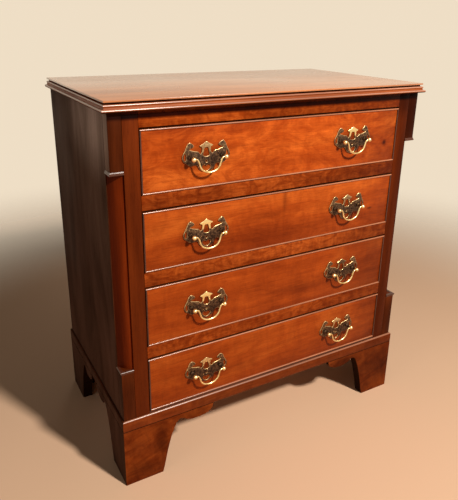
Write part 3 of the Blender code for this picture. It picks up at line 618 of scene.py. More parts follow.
# Paler glossy mahogany on the quarter round, a painted highlight.
base_highlight_mahogany = polished_wood(
    "base_highlight_mahogany", (0.17, 0.058, 0.028), (0.26, 0.093, 0.043), (0.36, 0.134, 0.066), gloss=0.36,
    shine=0.4, coat=0.4, seed=4.4)
# The base grows darker towards the right, painted shade.
base_mahogany = polished_wood(
    "base_mahogany", (0.15, 0.028, 0.005), (0.25, 0.047, 0.008), (0.34, 0.07, 0.013), stripe=0.25,
    swirl=0.5, seed=4.9, shaded_end=("X", -0.05, 0.30))
finished("base_band", cage, [base_mahogany, side_mahogany, base_highlight_mahogany, shade_mahogany], "base_moulding",
         sharp=50.0)


# Bracket feet. Two shaped brackets meet at each corner over a glue block, their faces in figured
# mahogany whose grain runs near level, sawn edges and insides near-black: dark end grain, with painted
# shade on it. The back feet have a plain bracket.
FOOT_THICKNESS = 0.022
FOOT_TOE = 0.079
FOOT_SPREAD = 0.032
JOINT_GAP = 0.0004
LEG_SHARES = ((0.0, 0.0), (0.16, 0.16), (0.36, 0.39), (0.62, 0.63), (0.86, 0.79), (1.0, 0.87))
WING_SHARES = ((0.0, 0.87), (0.08, 0.915), (0.19, 0.905), (0.29, 0.86), (0.40, 0.835), (0.58, 0.83),
               (0.77, 0.845), (0.91, 0.885), (0.97, 0.93), (1.0, 1.0))
WINGS = {"front": 0.084, "side": 0.068}
REAR_PLAIN = (0.060, 0.095)
BLOCK_SIZE = 0.022
BLOCK_CLEARANCE = 0.004
BLOCK_INSET = {"front": FOOT_THICKNESS - 2 * TUCK, "rear": 0.014}
# Two dark flames in the figure of the left front foot, then painted shade on both front wing lobes.
DARK_FLAMES_AND_LOBE_SHADE = ((-0.268, 0.085, 0.011, 0.030, 0.6, 0.05), (-0.315, 0.030, 0.024, 0.012, 0.5, 0.05),
               (-0.190, 0.118, 0.035, 0.012, 0.5, 0.05), (0.190, 0.112, 0.035, 0.014, 0.75, 0.05))
# The feet grow darker towards the right, painted shade.
foot_mahogany = polished_wood(
    "foot_mahogany", (0.090, 0.014, 0.003), (0.220, 0.039, 0.005), (0.350, 0.072, 0.010), (0.0, 0.25, 0.0),
    figure=2.0, stripe=0.35, swirl=0.8, seed=9.3, marks=front_marks(*DARK_FLAMES_AND_LOBE_SHADE),
    shaded_end=("X", 0.0, 0.48))
# Near-black: dark end grain with painted shade.
sawn_shaded_mahogany = polished_wood(
    "sawn_shaded_mahogany", (0.014, 0.005, 0.003), (0.025, 0.009, 0.004), (0.040, 0.014, 0.006), UPRIGHT,
    figure=4.0, gloss=0.7, shine=0.02, seed=9.9)


def bracket_edge(wing, height):
    """The outline of a shaped bracket as (along, up) points, from the toe up the leg and along the wing."""
    leg = smooth_line([(FOOT_TOE + FOOT_SPREAD * along, height * up) for along, up in LEG_SHARES], 4)
    lobe = smooth_line([(FOOT_TOE + FOOT_SPREAD + wing * along, height * up) for along, up in WING_SHARES], 4)
    return [Vector((0.0, 0.0))] + leg + lobe[1:] + [Vector((0.0, height))]


def add_bracket(cage, outline, corner, along, inward, mitre=True):
    """A board cut to the outline, its face through the corner point, thick towards inward, sawn all round."""
    corner, along, inward = Vector(corner), Vector(along), Vector(inward)
    front, back = ([corner + along * max(out, depth if mitre else 0.0) + Vector((0, 0, up)) + inward * depth
                    for out, up in outline] for depth in (0.0, FOOT_THICKNESS))
    faces = add_prism(cage, front, back)
    for sawn in faces[:-2] + faces[-1:]:
        sawn.material_index = 1


def bracket_foot(place, side):
    low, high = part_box("foot_%s_%s" % (place, side))
    in_front = place == "front"
    way, outer = (1, low.x) if side == "left" else (-1, high.x)
    ahead, corner_y = (1, low.y) if in_front else (-1, high.y)
    corner = (outer, corner_y, 0)
    top = high.z - JOINT_GAP
    cage = bmesh.new()
    add_bracket(cage, bracket_edge(WINGS["side"], top), corner, (0, ahead, 0), (way, 0, 0), in_front)
    for face in cage.faces:
        face.material_index = face.material_index or 2
    if in_front:
        add_bracket(cage, bracket_edge(WINGS["front"], top), corner, (way, 0, 0), (0, 1, 0))
    else:
        start = FOOT_THICKNESS - TUCK
        plain = ((start, 0.0), (REAR_PLAIN[0], 0.0), (REAR_PLAIN[1], top), (start, top))
        plain_y = corner_y - FOOT_THICKNESS - BACK_RECESS
        add_bracket(cage, plain, (outer, plain_y, 0), (way, 0, 0), (0, 1, 0), False)
    block_x = outer + way * BLOCK_INSET["front"]
    block_y = corner_y + ahead * BLOCK_INSET[place]
    add_block(cage, (block_x, block_y, BLOCK_CLEARANCE),
              (block_x + way * BLOCK_SIZE, block_y + ahead * BLOCK_SIZE, high.z), 0.0004, 1)
    return cage


for place in ("front", "rear"):
    for side in ("left", "right"):
        name = "foot_%s_%s" % (place, side)
        finished("bracket_" + name, bracket_foot(place, side), [foot_mahogany, sawn_shaded_mahogany, side_mahogany],
                 name)


# Back and inside of the case. Planed pine, gone brown with age: three upright back boards nailed
# into the rebate, the bottom with a mahogany lipping, the dust frames with their runners, the kickers.
RUNNER_WIDTH = 0.0537
PANEL_THICKNESS = 0.006
BOARD_GAP = 0.0001
BACK_JOINTS = (0.236, 0.427)
NAIL_INSET = 0.018
NAIL_MARGIN = 0.012
NAIL_ROOM = 0.0006
NAIL_LIFT = 0.0001
SIDE_NAILS_FROM, SIDE_NAIL_PITCH, SIDE_NAIL_INSET, SIDE_NAIL_STAGGER = 0.11, 0.098, 0.008, 0.006
LIPPING_DEPTH = 0.009
BOTTOM_JOINTS = (-0.02, 0.10)
DUST_JOINT = 0.17
back_pine = planed_wood(
    "back_pine", ((0.17, 0.082, 0.036), (0.26, 0.133, 0.058), (0.34, 0.185, 0.088)), UPRIGHT, 0.6, 11.0)


def old_metal(name, scale, detail, stops, metallic, roughness, share=1.0, layer=None, weight=1.0, dents=0.0):
    """Metal whose colour and roughness follow a share of a mottle and what a layer of the mesh adds."""
    material, tree, shader = new_material(name)
    mottle = add_node(tree, "TexNoise", {"Vector": object_place(tree), "Scale": scale, "Detail": detail})
    amount = computed(tree, "MULTIPLY", mottle, share)
    if layer:
        held = add_node(tree, "Attribute", attribute_name=layer).outputs["Fac"]
        amount = computed(tree, "MULTIPLY_ADD", held, weight, amount)
    dull = add_node(tree, "MapRange", {"Value": amount, "To Min": roughness[0], "To Max": roughness[1]})
    feed(tree, shader, {"Base Color": ramp(tree, amount, stops), "Roughness": dull, "Metallic": metallic})
    if dents:
        dented = add_node(tree, "Bump", {"Height": mottle, "Strength": dents, "Distance": 0.0003})
        feed(tree, shader, {"Normal": dented})
    return material


def start_tree(name, inputs):
    """A tree that takes a geometry and the named inputs, each of a kind and, unless None, a value."""
    tree = bpy.data.node_groups.new(name, "GeometryNodeTree")
    tree.interface.new_socket("Geometry", in_out="INPUT", socket_type="NodeSocketGeometry")
    tree.interface.new_socket("Geometry", in_out="OUTPUT", socket_type="NodeSocketGeometry")
    sockets = {}
    for label, (kind, value) in inputs.items():
        socket = tree.interface.new_socket(label, in_out="INPUT", socket_type="NodeSocket" + kind)
        if value is not None:
            socket.default_value = value
        sockets[label] = socket.identifier
    return tree, sockets, add_node(tree, "NodeGroupInput").outputs


def end_tree(tree, geometry, material):
    """Makes copies real, gives them their material and hands them out."""
    real = add_node(tree, "GeometryNodeRealizeInstances", {0: geometry})
    coated = add_node(tree, "GeometryNodeSetMaterial", {"Geometry": real, "Material": material})
    add_node(tree, "NodeGroupOutput", {0: coated})


def nail_tree():
    """Puts a low hammered head, each sized a little differently, on every point."""
    tree, sockets, given = start_tree("nail_heads", {
        "Radius": ("Float", 0.0021), "Height": ("Float", 0.0004), "Tilt": ("Vector", None),
        "Seed": ("Int", 5), "Iron": ("Material", None)})
    smaller = computed(tree, "MULTIPLY", given["Radius"], 0.6)
    head = add_node(tree, "GeometryNodeMeshCone", {
        "Vertices": 9, "Radius Bottom": given["Radius"], "Radius Top": smaller, "Depth": given["Height"]})
    size = add_node(tree, "FunctionNodeRandomValue", {2: 0.8, 3: 1.1, "Seed": given["Seed"]})
    copies = add_node(tree, "GeometryNodeInstanceOnPoints", {
        "Points": given["Geometry"], "Instance": head, "Rotation": given["Tilt"], "Scale": size})
    end_tree(tree, copies, given["Iron"])
    return tree, sockets


def plain_mesh(thing):
    """The mesh that an object's curve or modifiers come to. The object itself is removed."""
    bpy.context.view_layer.update()
    graph = bpy.context.evaluated_depsgraph_get()
    mesh = bpy.data.meshes.new_from_object(thing.evaluated_get(graph), depsgraph=graph)
    bpy.data.objects.remove(thing, do_unlink=True)
    return mesh


def made_by_tree(name, start_mesh, tree, values):
    """The plain mesh that a node tree makes on the start mesh."""
    thing = in_scene(name, start_mesh)
    maker = thing.modifiers.new(name, "NODES")
    maker.node_group = tree
    for identifier, value in values.items():
        maker[identifier] = value
    return plain_mesh(thing)


def add_boards(cage, axis, joints, low, high, arris, gap=BOARD_GAP):
    """Boards side by side along the axis, one from each joint to the next, a hair's gap between them."""
    low, high = Vector(low), Vector(high)
    for start, end in zip(joints, joints[1:]):
        low[axis], high[axis] = start + gap, end - gap
        add_block(cage, low, high, arris)


nail_iron = old_metal("nail_iron", 700.0, 3.0, ((0.4, (0.03, 0.026, 0.024)), (0.65, (0.12, 0.055, 0.03))),
                      0.6, (0.6, 0.6))
nail_heads, nail_sockets = nail_tree()


def drive_nails(name, body, spots, tilt):
    start = bpy.data.meshes.new(name)
    start.from_pydata(spots, [], [])
    heads = made_by_tree(name, start, nail_heads, {
        nail_sockets["Tilt"]: tilt, nail_sockets["Iron"]: nail_iron})
    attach(in_scene(name, heads), body)


low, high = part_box("back_board")
back_face = high.y - NAIL_ROOM
joints = [low.x, *(low.x + joint for joint in BACK_JOINTS), high.x]
cage = bmesh.new()
add_boards(cage, 0, joints, low, (0, back_face, high.z), 0.0011, 2 * BOARD_GAP)
spots = []
for start, end in zip(joints, joints[1:]):
    for across in (start + NAIL_INSET, (start + end) / 2, end - NAIL_INSET):
        for level in (low.z + NAIL_MARGIN, high.z - NAIL_MARGIN):
            spots.append((across, back_face + NAIL_LIFT, level))
finished("nailed_back_boards", cage, [back_pine], "back_board")
for level in range(5):
    height = low.z + SIDE_NAILS_FROM + SIDE_NAIL_PITCH * level
    for side in (1, -1):
        across = side * (high.x - SIDE_NAIL_INSET)
        spots.append((across, back_face + NAIL_LIFT, height + side * SIDE_NAIL_STAGGER))
drive_nails("back_nails", "carcase", spots, (-math.pi / 2, 0.0, 0.0))

low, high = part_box("carcase_bottom")
floor_level = high.z - STOP_HEIGHT
reach = stile_low.x - SEAT_GAP
cage = bmesh.new()
add_block(cage, (-reach, low.y, low.z), (reach, low.y + LIPPING_DEPTH, floor_level), 0.0004, 1)
add_block(cage, (-reach, low.y + LIPPING_DEPTH, low.z), (reach, stile_high.y + 2 * TUCK, floor_level))
joints = [stile_high.y + SEAT_GAP, *BOTTOM_JOINTS, high.y]
add_boards(cage, 1, joints, low, (high.x, 0, floor_level), 0.0005)
add_stops(cage, floor_level, 2)
finished("case_bottom", cage, [inside_pine, cap_mahogany, drawer_oak], "carcase_bottom")

for number in (1, 2, 3):
    name = "dust_frame_%d" % number
    low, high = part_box(name)
    runner = high.x - RUNNER_WIDTH
    cage = bmesh.new()
    for side in (1, -1):
        add_block(cage, sided((high.x, low.y, low.z), side), sided((runner, high.y, high.z), side), 0.0008, 1)
    reach, level, half = runner + 2 * TUCK, (low.z + high.z) / 2, PANEL_THICKNESS / 2
    add_boards(cage, 1, [low.y, low.y + DUST_JOINT, high.y],
               (-reach, 0, level - half), (reach, 0, level + half), 0.0006)
    finished("dust_board_%d" % number, cage, [inside_pine, runner_pine], name)
for side in ("left", "right"):
    cage = bmesh.new()
    add_block(cage, *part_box("kicker_" + side), 0.0012)
    finished("top_kicker_" + side, cage, [runner_pine], "kicker_" + side)


# Drawer fronts. Solid figured mahogany, each cut from its own board, with a slender cock bead let
# into a rebate on all four edges. The bead stands proud and is rounded, with a fine line of painted
# shade beside it; its level lengths are paler, a painted highlight, and its upright ones darker,
# painted shade.
BEAD_THICKNESS = 0.003
BEAD_PROUD = 0.002
BEAD_DEPTH = 0.0065
GAP_ABOVE = 0.0017
NOSE_STEPS = 10
# Each drawer: seed, tone, swirl, where painted shade towards the right end begins, and marks. The tone
# darkens each lower drawer, painted shade for light that falls off downwards.
FRONT_LOOKS = (
    (0.0, 1.04, 0.8, 0.12, ((0.258, 0.640, 0.0036, 0.0042, 1.0, 0.01),
                            (0.213, 0.652, 0.016, 0.006, 0.4, 0.02))),
    (21.4, 0.87, 0.4, 0.20, ((0.0075, 0.546, 0.004, 0.020, 0.45, 0.01),
                             (0.235, 0.496, 0.005, 0.0018, 0.8, 0.01),
                             (-0.030, 0.520, 0.030, 0.005, 0.25, 0.02))),
    (37.9, 0.82, 0.3, 0.09, ((0.060, 0.348, 0.040, 0.006, 0.25, 0.02),)),
    (55.2, 0.74, 0.3, 0.15, ((-0.110, 0.200, 0.045, 0.005, 0.25, 0.02),)),
)
HANDLE_OFFSET = 0.1675
# Dirt round each plate, shifted low and to the left to paint its shadow as well.
HANDLE_DIRT_AND_SHADOW = (0.028, 0.018, 0.7, 0.03)
HANDLE_SHADOW_SHIFT = 0.003
HANDLE_DIRT_AND_SHADOW_DROP = 0.029
FRONT_TONES = ((0.28, 0.038, 0.004), (0.47, 0.076, 0.008), (0.66, 0.141, 0.018))
# Paler glossy mahogany on the level lengths of the beads, a painted highlight.
bead_highlight_mahogany = polished_wood(
    "bead_highlight_mahogany", (0.235, 0.074, 0.030), (0.375, 0.124, 0.052), (0.515, 0.188, 0.086), gloss=0.36,
    shine=0.5, coat=0.6, seed=6.6)


def cock_bead(low, high):
    """A ring round the front between two corner points, round-nosed, mitred at its corners."""
    radius = BEAD_THICKNESS / 2
    nose = [(radius - radius * math.cos(angle), radius - BEAD_PROUD - radius * math.sin(angle))
            for angle in (math.pi * step / NOSE_STEPS for step in range(NOSE_STEPS + 1))]
    corners = ((low.x, low.z, 1, 1), (high.x, low.z, -1, 1), (high.x, high.z, -1, -1), (low.x, high.z, 1, -1))
    cage = bmesh.new()
    swept(cage, [(0.0, BEAD_DEPTH), *nose, (BEAD_THICKNESS, BEAD_DEPTH)],
          [((x, case_front, z), (way_x, 0, way_z)) for x, z, way_x, way_z in corners],
          closed=True, up_is=(0, 1, 0))
    # Faces in the gap round the bead take the near-black material, painted shade; the upright lengths take
    # the darker cap mahogany, painted shade; the level lengths keep the paler bead material, a painted
    # highlight.
    for face in cage.faces:
        middle = face.calc_center_median()
        upright = min(middle.x - low.x, high.x - middle.x) < BEAD_THICKNESS
        outward = Vector((middle.x * 2 - low.x - high.x if upright else 0.0, 0.0,
                          middle.z * 2 - low.z - high.z))
        in_the_gap = abs(face.normal.y) < 0.1 and face.normal.dot(outward) > 0.0
        face.material_index = 2 if in_the_gap else 1 if upright else 0
    return cage


for number, (seed, tone, swirl, darker_from, marks) in enumerate(FRONT_LOOKS, 1):
    name = "drawer_%d" % number
    low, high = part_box(name + "_front")
    edge = BEAD_THICKNESS + SEAT_GAP
    rebate = case_front + BEAD_DEPTH
    cage = bmesh.new()
    add_block(cage, (low.x + edge, case_front, low.z + edge),
              (high.x - edge, rebate + TUCK, high.z - GAP_ABOVE - edge), 0.0004)
    add_block(cage, (low.x, rebate, low.z), high, 0.0004)
    tones = [tuple(value * tone for value in colour) for colour in FRONT_TONES]
    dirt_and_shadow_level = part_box(name + "_handle_plate_left")[1].z - HANDLE_DIRT_AND_SHADOW_DROP
    marks += tuple((side * HANDLE_OFFSET - HANDLE_SHADOW_SHIFT, dirt_and_shadow_level, *HANDLE_DIRT_AND_SHADOW) for side in (1, -1))
    front_mahogany = polished_wood(
        "front_mahogany_%d" % number, *tones, figure=3.6, stripe=0.22, shine=0.07, seed=seed, swirl=swirl,
        marks=front_marks(*marks), shaded_end=("X", darker_from, darker_from + 0.2))
    finished(name + "_panel", cage, [front_mahogany], name + "_front", name)
    finished(name + "_cock_bead", cock_bead(low, high - Vector((0, 0, GAP_ABOVE))),
             [bead_highlight_mahogany, cap_mahogany, shade_mahogany], None, name, 50.0)


# Drawer boxes. Thin oak sides dovetailed into the front and round the back, their top edges rounded,
# and an oak bottom in two boards, nailed up to the back. All planed, dry and pale.
TAILS = 4
TAIL_LENGTH = 0.0125
TAIL_FLARE = 0.0025
PIN_WIDTH = 0.0045
TAIL_MARGIN = 0.004
TAIL_PROUD = 0.00006
BOX_NAIL_PITCH = 0.085
BOX_NAIL_INSET = 0.006
BOX_JOINT_OFFSET = 0.02
end_oak = planed_wood(
    "end_oak", ((0.19, 0.105, 0.045), (0.26, 0.15, 0.07), (0.33, 0.20, 0.095)), (math.pi / 2, 0.0, 0.0),
    0.65, 15.0)
bottom_oak = planed_wood("bottom_oak", OAK_TONES, UNTURNED, 0.55, 16.0)


def add_dovetails(cage, side, low, high, back_low, back_high):
    """Tails, wider at their tips, from the side board into the front, and pins of the back in the side."""
    pitch = (high.z - low.z - 2 * TAIL_MARGIN) / TAILS
    root, tip, outer = low.y + 2 * TUCK, low.y - TAIL_LENGTH, high.x + TAIL_PROUD
    for tail in range(TAILS):
        level = low.z + TAIL_MARGIN + pitch * (tail + 0.5)
        narrow, wide = (pitch - PIN_WIDTH) / 2 - TAIL_FLARE, (pitch - PIN_WIDTH) / 2
        outline = ((root, level - narrow), (tip, level - wide), (tip, level + wide), (root, level + narrow))
        ends = [[(side * across, y, z) for y, z in outline] for across in (low.x + TUCK / 2, outer)]
        add_prism(cage, *ends)
    for pin in range(1, TAILS):
        level = low.z + TAIL_MARGIN + pitch * pin
        add_block(cage, sided((high.x - 2 * TUCK, back_low.y, level - TAIL_MARGIN), side),
                  sided((outer, back_high.y, level + TAIL_MARGIN), side), 0.0, 1)


for number in range(1, 5):
    name = "drawer_%d" % number
    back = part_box(name + "_back")
    low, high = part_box(name + "_side_right")
    for side, word in SIDES:
        cage = bmesh.new()
        add_block(cage, sided(low, side), sided(high, side), 0.0014)
        add_dovetails(cage, side, low, high, *back)
        finished("%s_dovetailed_side_%s" % (name, word), cage, [drawer_oak, end_oak],
                 "%s_side_%s" % (name, word), name)
    cage = bmesh.new()
    add_block(cage, *back, 0.0016)
    finished(name + "_rounded_back", cage, [bottom_oak], name + "_back", name)
    low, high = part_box(name + "_bottom")
    joints = [low.y - BOARD_GAP, (low.y + high.y) / 2 + BOX_JOINT_OFFSET, high.y + BOARD_GAP]
    cage = bmesh.new()
    add_boards(cage, 1, joints, low, high, 0.0005)
    finished(name + "_bottom_boards", cage, [bottom_oak], name + "_bottom", name)
    spots = [(BOX_NAIL_PITCH * n, high.y - BOX_NAIL_INSET, low.z - NAIL_LIFT) for n in range(-3, 4)]
    drive_nails(name + "_bottom_nails", name, spots, (math.pi, 0.0, 0.0))


# Handle plates. Pierced brass cut and filed to a pair of wings, with a peaked cap over a slot, a
# heart below and a slim crescent in each wing. The faces have gone dark and the edges are bright
# with wear; the upper half is painted lighter and the lower darker, as painted light and shade, the
# edges facing up carry a painted highlight, and some caps a painted reflection of the lamp.
PLATE_HALF_WIDTH = 0.047
PLATE_RISE = 0.027
PLATE_FRONT = 0.0023
PLATE_HALF_THICKNESS = 0.001
PLATE_EDGE = (
    (0.0, 1.0), (0.09, 0.91), (0.18, 0.82), (0.28, 0.74), (0.255, 0.66), (0.19, 0.62),
    (0.18, 0.44), (0.205, 0.27), (0.25, 0.20), (0.295, 0.26), (0.33, 0.34), (0.40, 0.38),
    (0.52, 0.42), (0.64, 0.49), (0.71, 0.55), (0.645, 0.60), (0.575, 0.64), (0.52, 0.72),
    (0.545, 0.83), (0.62, 0.94), (0.70, 0.99), (0.78, 0.90), (0.84, 0.71), (0.885, 0.51),
    (0.95, 0.32), (1.0, 0.11), (0.985, -0.12), (0.92, -0.28), (0.84, -0.37), (0.755, -0.49),
    (0.645, -0.56), (0.53, -0.53), (0.43, -0.52), (0.36, -0.62), (0.33, -0.75), (0.255, -0.89),
    (0.15, -0.98), (0.055, -1.02), (0.0, -1.08),
)
PLATE_SLOT = ((-0.075, 0.57), (0.0, 0.60), (0.075, 0.57), (0.11, 0.34), (0.135, 0.12),
              (0.065, 0.02), (-0.065, 0.02), (-0.135, 0.12), (-0.11, 0.34))
PLATE_HEART = ((0.0, -0.64), (0.07, -0.55), (0.15, -0.58), (0.175, -0.71), (0.12, -0.86), (0.0, -0.96),
               (-0.12, -0.86), (-0.175, -0.71), (-0.15, -0.58), (-0.07, -0.55))
PLATE_CRESCENT = ((0.88, 0.34), (0.935, 0.13), (0.93, -0.09), (0.875, -0.19), (0.845, -0.04), (0.845, 0.18))
PLATE_EYELET = (0.0, -0.0085, 0.0019)
EYELET_STEPS = 16
EDGE_ROUND = 0.0008
# How much painted reflection of the lamp each cap carries.
CAP_PAINTED_REFLECTION = {(1, "left"): 0.25, (1, "right"): 0.8, (2, "left"): 1.0, (2, "right"): 0.15,
             (3, "left"): 0.75, (3, "right"): 0.0, (4, "left"): 0.35, (4, "right"): 0.32}


def pierced_plate():
    """The plate in its own flat frame: X across, Y up, its face towards +Z.

    Its attribute holds the brightening towards the top and darkening below, painted light and shade, the
    share of the cap, and the edge, bright with wear and with a painted highlight where it faces up.
    """
    def placed(shares, side=1):
        return [(side * across * PLATE_HALF_WIDTH, up * PLATE_RISE) for across, up in shares]
    shapes = [placed(PLATE_EDGE) + placed(PLATE_EDGE[-2:0:-1], -1), placed(PLATE_SLOT), placed(PLATE_HEART),
              placed(PLATE_CRESCENT), placed(PLATE_CRESCENT, -1)]
    loops = [smooth_line(shape, 3, True) for shape in shapes]
    across, up, radius = PLATE_EYELET
    eyelet = []
    for step in range(EYELET_STEPS):
        angle = math.tau * step / EYELET_STEPS
        eyelet.append(Vector((across + radius * math.cos(angle), up + radius * math.sin(angle))))
    curve = bpy.data.curves.new("plate", "CURVE")
    curve.dimensions = "2D"
    curve.fill_mode = "BOTH"
    curve.extrude = PLATE_HALF_THICKNESS - EDGE_ROUND
    curve.bevel_depth = EDGE_ROUND
    curve.bevel_resolution = 2
    curve.offset = -EDGE_ROUND
    for loop in loops + [eyelet]:
        spline = curve.splines.new("POLY")
        spline.points.add(len(loop) - 1)
        for point, spot in zip(spline.points, loop):
            point.co = (spot.x, spot.y, 0.0, 1.0)
        spline.use_cyclic_u = True
    mesh = plain_mesh(in_scene("plate", curve))
    cage = bmesh.new()
    cage.from_mesh(mesh)
    bmesh.ops.remove_doubles(cage, verts=cage.verts, dist=0.00001)
    bmesh.ops.recalc_face_normals(cage, faces=cage.faces)
    cage.to_mesh(mesh)
    cage.free()
    wear_and_painted_light = mesh.color_attributes.new("wear_and_painted_light", "FLOAT_COLOR", "POINT")
    for vertex in mesh.vertices:
        across, up = abs(vertex.co.x), vertex.co.y
        cap = min(max((up - 0.006) / 0.005, 0.0), 1.0) * (across < (0.0145 if up > 0.013 else 0.0098))
        # Edges are bright with wear, brighter where they face up, a painted highlight.
        worn_lit_rim = (0.44 if vertex.normal.y > 0.15 else 0.34) if abs(vertex.normal.z) < 0.9 else 0.0
        # Painted light on the upper half of the plate and painted shade on the lower.
        painted_lift = 0.09 * min(max(up / 0.010, -1.0), 1.0)
        wear_and_painted_light.data[vertex.index].color = (painted_lift, cap, worn_lit_rim, 1.0)
    return mesh


HANDLES = [(number, side, "drawer_%d" % number) for number in range(1, 5) for side in ("left", "right")]
TO_FRONT = Matrix.Rotation(math.pi / 2, 4, "X")
PATINA = ((0.28, (0.028, 0.013, 0.009)), (0.46, (0.12, 0.066, 0.037)), (0.75, (0.45, 0.29, 0.15)),
          (1.0, (0.88, 0.66, 0.30)))
plate_brass = old_metal("plate_brass", 260.0, 4.0, PATINA, 0.85, (0.5, 0.3), 0.75, "wear_and_painted_light", dents=0.35)
plate_shape = pierced_plate()
handle_centres = {}
for number, side, body in HANDLES:
    node = "drawer_%d_handle_plate_%s" % (number, side)
    low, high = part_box(node)
    centre = Vector(((low.x + high.x) / 2, case_front, high.z - PLATE_RISE))
    handle_centres[number, side] = centre
    cage = bmesh.new()
    cage.from_mesh(plate_shape)
    wear_and_painted_light = cage.verts.layers.float_color["wear_and_painted_light"]
    for vertex in cage.verts:
        painted_lift, cap, worn_lit_rim = vertex[wear_and_painted_light][:3]
        # The cap takes its painted reflection of the lamp.
        wear_and_sheen = max(worn_lit_rim, cap * CAP_PAINTED_REFLECTION[number, side]) + painted_lift
        vertex[wear_and_painted_light] = (wear_and_sheen, wear_and_sheen, wear_and_sheen, 1.0)
    seat = Matrix.Translation(centre + Vector((0, PLATE_HALF_THICKNESS - PLATE_FRONT, 0)))
    bmesh.ops.transform(cage, matrix=seat @ TO_FRONT, verts=cage.verts)
    finished("drawer_%d_pierced_plate_%s" % (number, side), cage, [plate_brass], node, body)


# Handle posts. Turned brass bolts with a ball head bored for the bail and a spread collar on the
# plate. The shank goes through the drawer front and is held by a nut inside. Two for each plate.
POST_SPACING = 0.0635
PIVOT_REACH = 0.017
POST_BRIGHT_FROM = 0.012
BRIGHT_BRASS = ((0.05, (0.09, 0.055, 0.035)), (0.32, (0.60, 0.40, 0.15)), (0.55, (0.95, 0.76, 0.40)))
POST_PROFILE = (
    (0.0, 0.0215), (0.0016, 0.0212), (0.0029, 0.0204), (0.0039, 0.0192), (0.0044, 0.0178),
    (0.0044, 0.0162), (0.0039, 0.0148), (0.0030, 0.0137), (0.0023, 0.0128), (0.0021, 0.0110),
    (0.0022, 0.0088), (0.0027, 0.0066), (0.0037, 0.0050), (0.0046, 0.0040), (0.0046, 0.0029),
    (0.0041, 0.0023), (0.0022, 0.0022), (0.0022, -0.0203), (0.0060, -0.0203), (0.0060, -0.0230),
    (0.0054, -0.0233), (0.0024, -0.0233), (0.0022, -0.0252), (0.0, -0.0253),
)


def turned(profile, steps, bright_from):
    """A turned piece along +Z from (radius, height) points, tarnished below the bright height."""
    cage = bmesh.new()
    line = [cage.verts.new((radius, 0.0, height)) for radius, height in profile]
    for first, second in zip(line, line[1:]):
        cage.edges.new((first, second))
    bmesh.ops.spin(cage, geom=list(cage.verts) + list(cage.edges), cent=(0, 0, 0), axis=(0, 0, 1),
                   angle=math.tau, steps=steps, use_merge=True)
    bmesh.ops.remove_doubles(cage, verts=cage.verts, dist=0.00001)
    bmesh.ops.recalc_face_normals(cage, faces=cage.faces)
    mesh = mesh_of("turned", cage)
    mesh.shade_smooth()
    mesh.set_sharp_from_angle(angle=math.radians(50))
    tarnish = mesh.color_attributes.new("tarnish", "FLOAT_COLOR", "POINT")
    for vertex in mesh.vertices:
        dark = 0.6 if vertex.co.z < bright_from else 0.0
        tarnish.data[vertex.index].color = (dark, dark, dark, 1.0)
    return mesh


def post_tree():
    """Stands a post on each of two points that lie the spacing apart, and gives both their brass."""
    tree, sockets, given = start_tree("pair_of_posts", {
        "Spacing": ("Float", POST_SPACING), "Post": ("Object", None), "Brass": ("Material", None)})
    half = computed(tree, "MULTIPLY", given["Spacing"], -0.5)
    start = add_node(tree, "CombineXYZ", {"X": half})
    offset = add_node(tree, "CombineXYZ", {"X": given["Spacing"]})
    spots = add_node(tree, "GeometryNodeMeshLine", {"Count": 2, "Start Location": start, "Offset": offset})
    post = add_node(tree, "GeometryNodeObjectInfo", {"Object": given["Post"]}).outputs["Geometry"]
    copies = add_node(tree, "GeometryNodeInstanceOnPoints", {"Points": spots, "Instance": post})
    end_tree(tree, copies, given["Brass"])
    return tree, sockets


def seat_copy(shape, name, body, matrix, node=None):
    """A copy of a finished brass mesh, moved into its place in its own vertices."""
    mesh = shape.copy()
    mesh.transform(matrix)
    seated(in_scene(name, mesh), body, node)


bail_brass = old_metal(
    "bail_brass", 190.0, 3.0, BRIGHT_BRASS, 1.0, (0.42, 0.16), layer="tarnish", weight=-1.0)
post_shape = in_scene("post_shape", turned(POST_PROFILE, 24, POST_BRIGHT_FROM))
tree, sockets = post_tree()
pair = made_by_tree("post_pair", bpy.data.meshes.new("post_pair"), tree,
                    {sockets["Post"]: post_shape, sockets["Brass"]: bail_brass})
bpy.data.objects.remove(post_shape, do_unlink=True)
for number, side, body in HANDLES:
    seat_copy(pair, "drawer_%d_posts_%s" % (number, side), body,
              Matrix.Translation(handle_centres[number, side]) @ TO_FRONT)


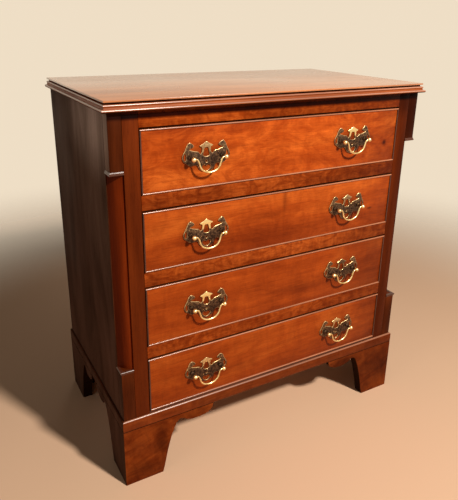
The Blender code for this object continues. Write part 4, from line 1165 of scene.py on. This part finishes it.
# Bails. Swan-neck drop handles of cast brass, thickest at the bottom of the loop. Their ends turn in
# and swing in the bored heads of the posts. Each hangs free.
BAIL_RADIUS = 0.0017
BAIL_DROP = 0.0252
BAIL_END_PLAY = 0.00075
BAIL_SPREAD = POST_SPACING / 2 - BAIL_END_PLAY
BAIL_LINE = (
    (1.0, 0.0, 0.86), (0.875, 0.0, 0.86), (0.80, 0.04, 0.88), (0.745, 0.13, 0.90), (0.695, 0.28, 0.95),
    (0.66, 0.44, 1.0), (0.605, 0.61, 1.04), (0.50, 0.78, 1.08), (0.345, 0.905, 1.12), (0.175, 0.975, 1.14),
    (0.0, 1.0, 1.15),
)


def bail_tree():
    """Turns a line of points that carry a thickness into a round bar along an even curve."""
    tree, sockets, given = start_tree("swan_neck_bail", {
        "Radius": ("Float", BAIL_RADIUS), "Steps": ("Int", 72), "Brass": ("Material", None)})
    line = add_node(tree, "GeometryNodeMeshToCurve", {"Mesh": given["Geometry"]})
    even = add_node(tree, "GeometryNodeCurveSplineType", {"Curve": line}, spline_type="CATMULL_ROM")
    fine = add_node(tree, "GeometryNodeResampleCurve", {"Curve": even, "Count": given["Steps"]})
    thick = add_node(tree, "GeometryNodeInputNamedAttribute", {"Name": "thickness"}, data_type="FLOAT")
    section = add_node(tree, "GeometryNodeCurvePrimitiveCircle", {
        "Resolution": 14, "Radius": given["Radius"]})
    bar = add_node(tree, "GeometryNodeCurveToMesh", {
        "Curve": fine, "Scale": thick, "Profile Curve": section, "Fill Caps": True})
    end_tree(tree, bar, given["Brass"])
    return tree, sockets


right = [(BAIL_SPREAD * across, -BAIL_DROP * down, thick) for across, down, thick in BAIL_LINE]
path = [(-across, down, thick) for across, down, thick in right[:-1]] + right[::-1]
line = bpy.data.meshes.new("bail_line")
line.from_pydata([(across, 0.0, down) for across, down, thick in path],
                 [(n, n + 1) for n in range(len(path) - 1)], [])
thickness = line.attributes.new("thickness", "FLOAT", "POINT")
for number, (across, down, thick) in enumerate(path):
    thickness.data[number].value = thick
tree, sockets = bail_tree()
bail = made_by_tree("bail", line, tree, {sockets["Brass"]: bail_brass})
bail.shade_smooth()
bail.set_sharp_from_angle(angle=math.radians(60))
for number, side, body in HANDLES:
    node = "drawer_%d_bail_%s" % (number, side)
    pivot = handle_centres[number, side] + Vector((0, -PIVOT_REACH, 0))
    seat_copy(bail, "drawer_%d_swan_bail_%s" % (number, side), node, Matrix.Translation(pivot), node)
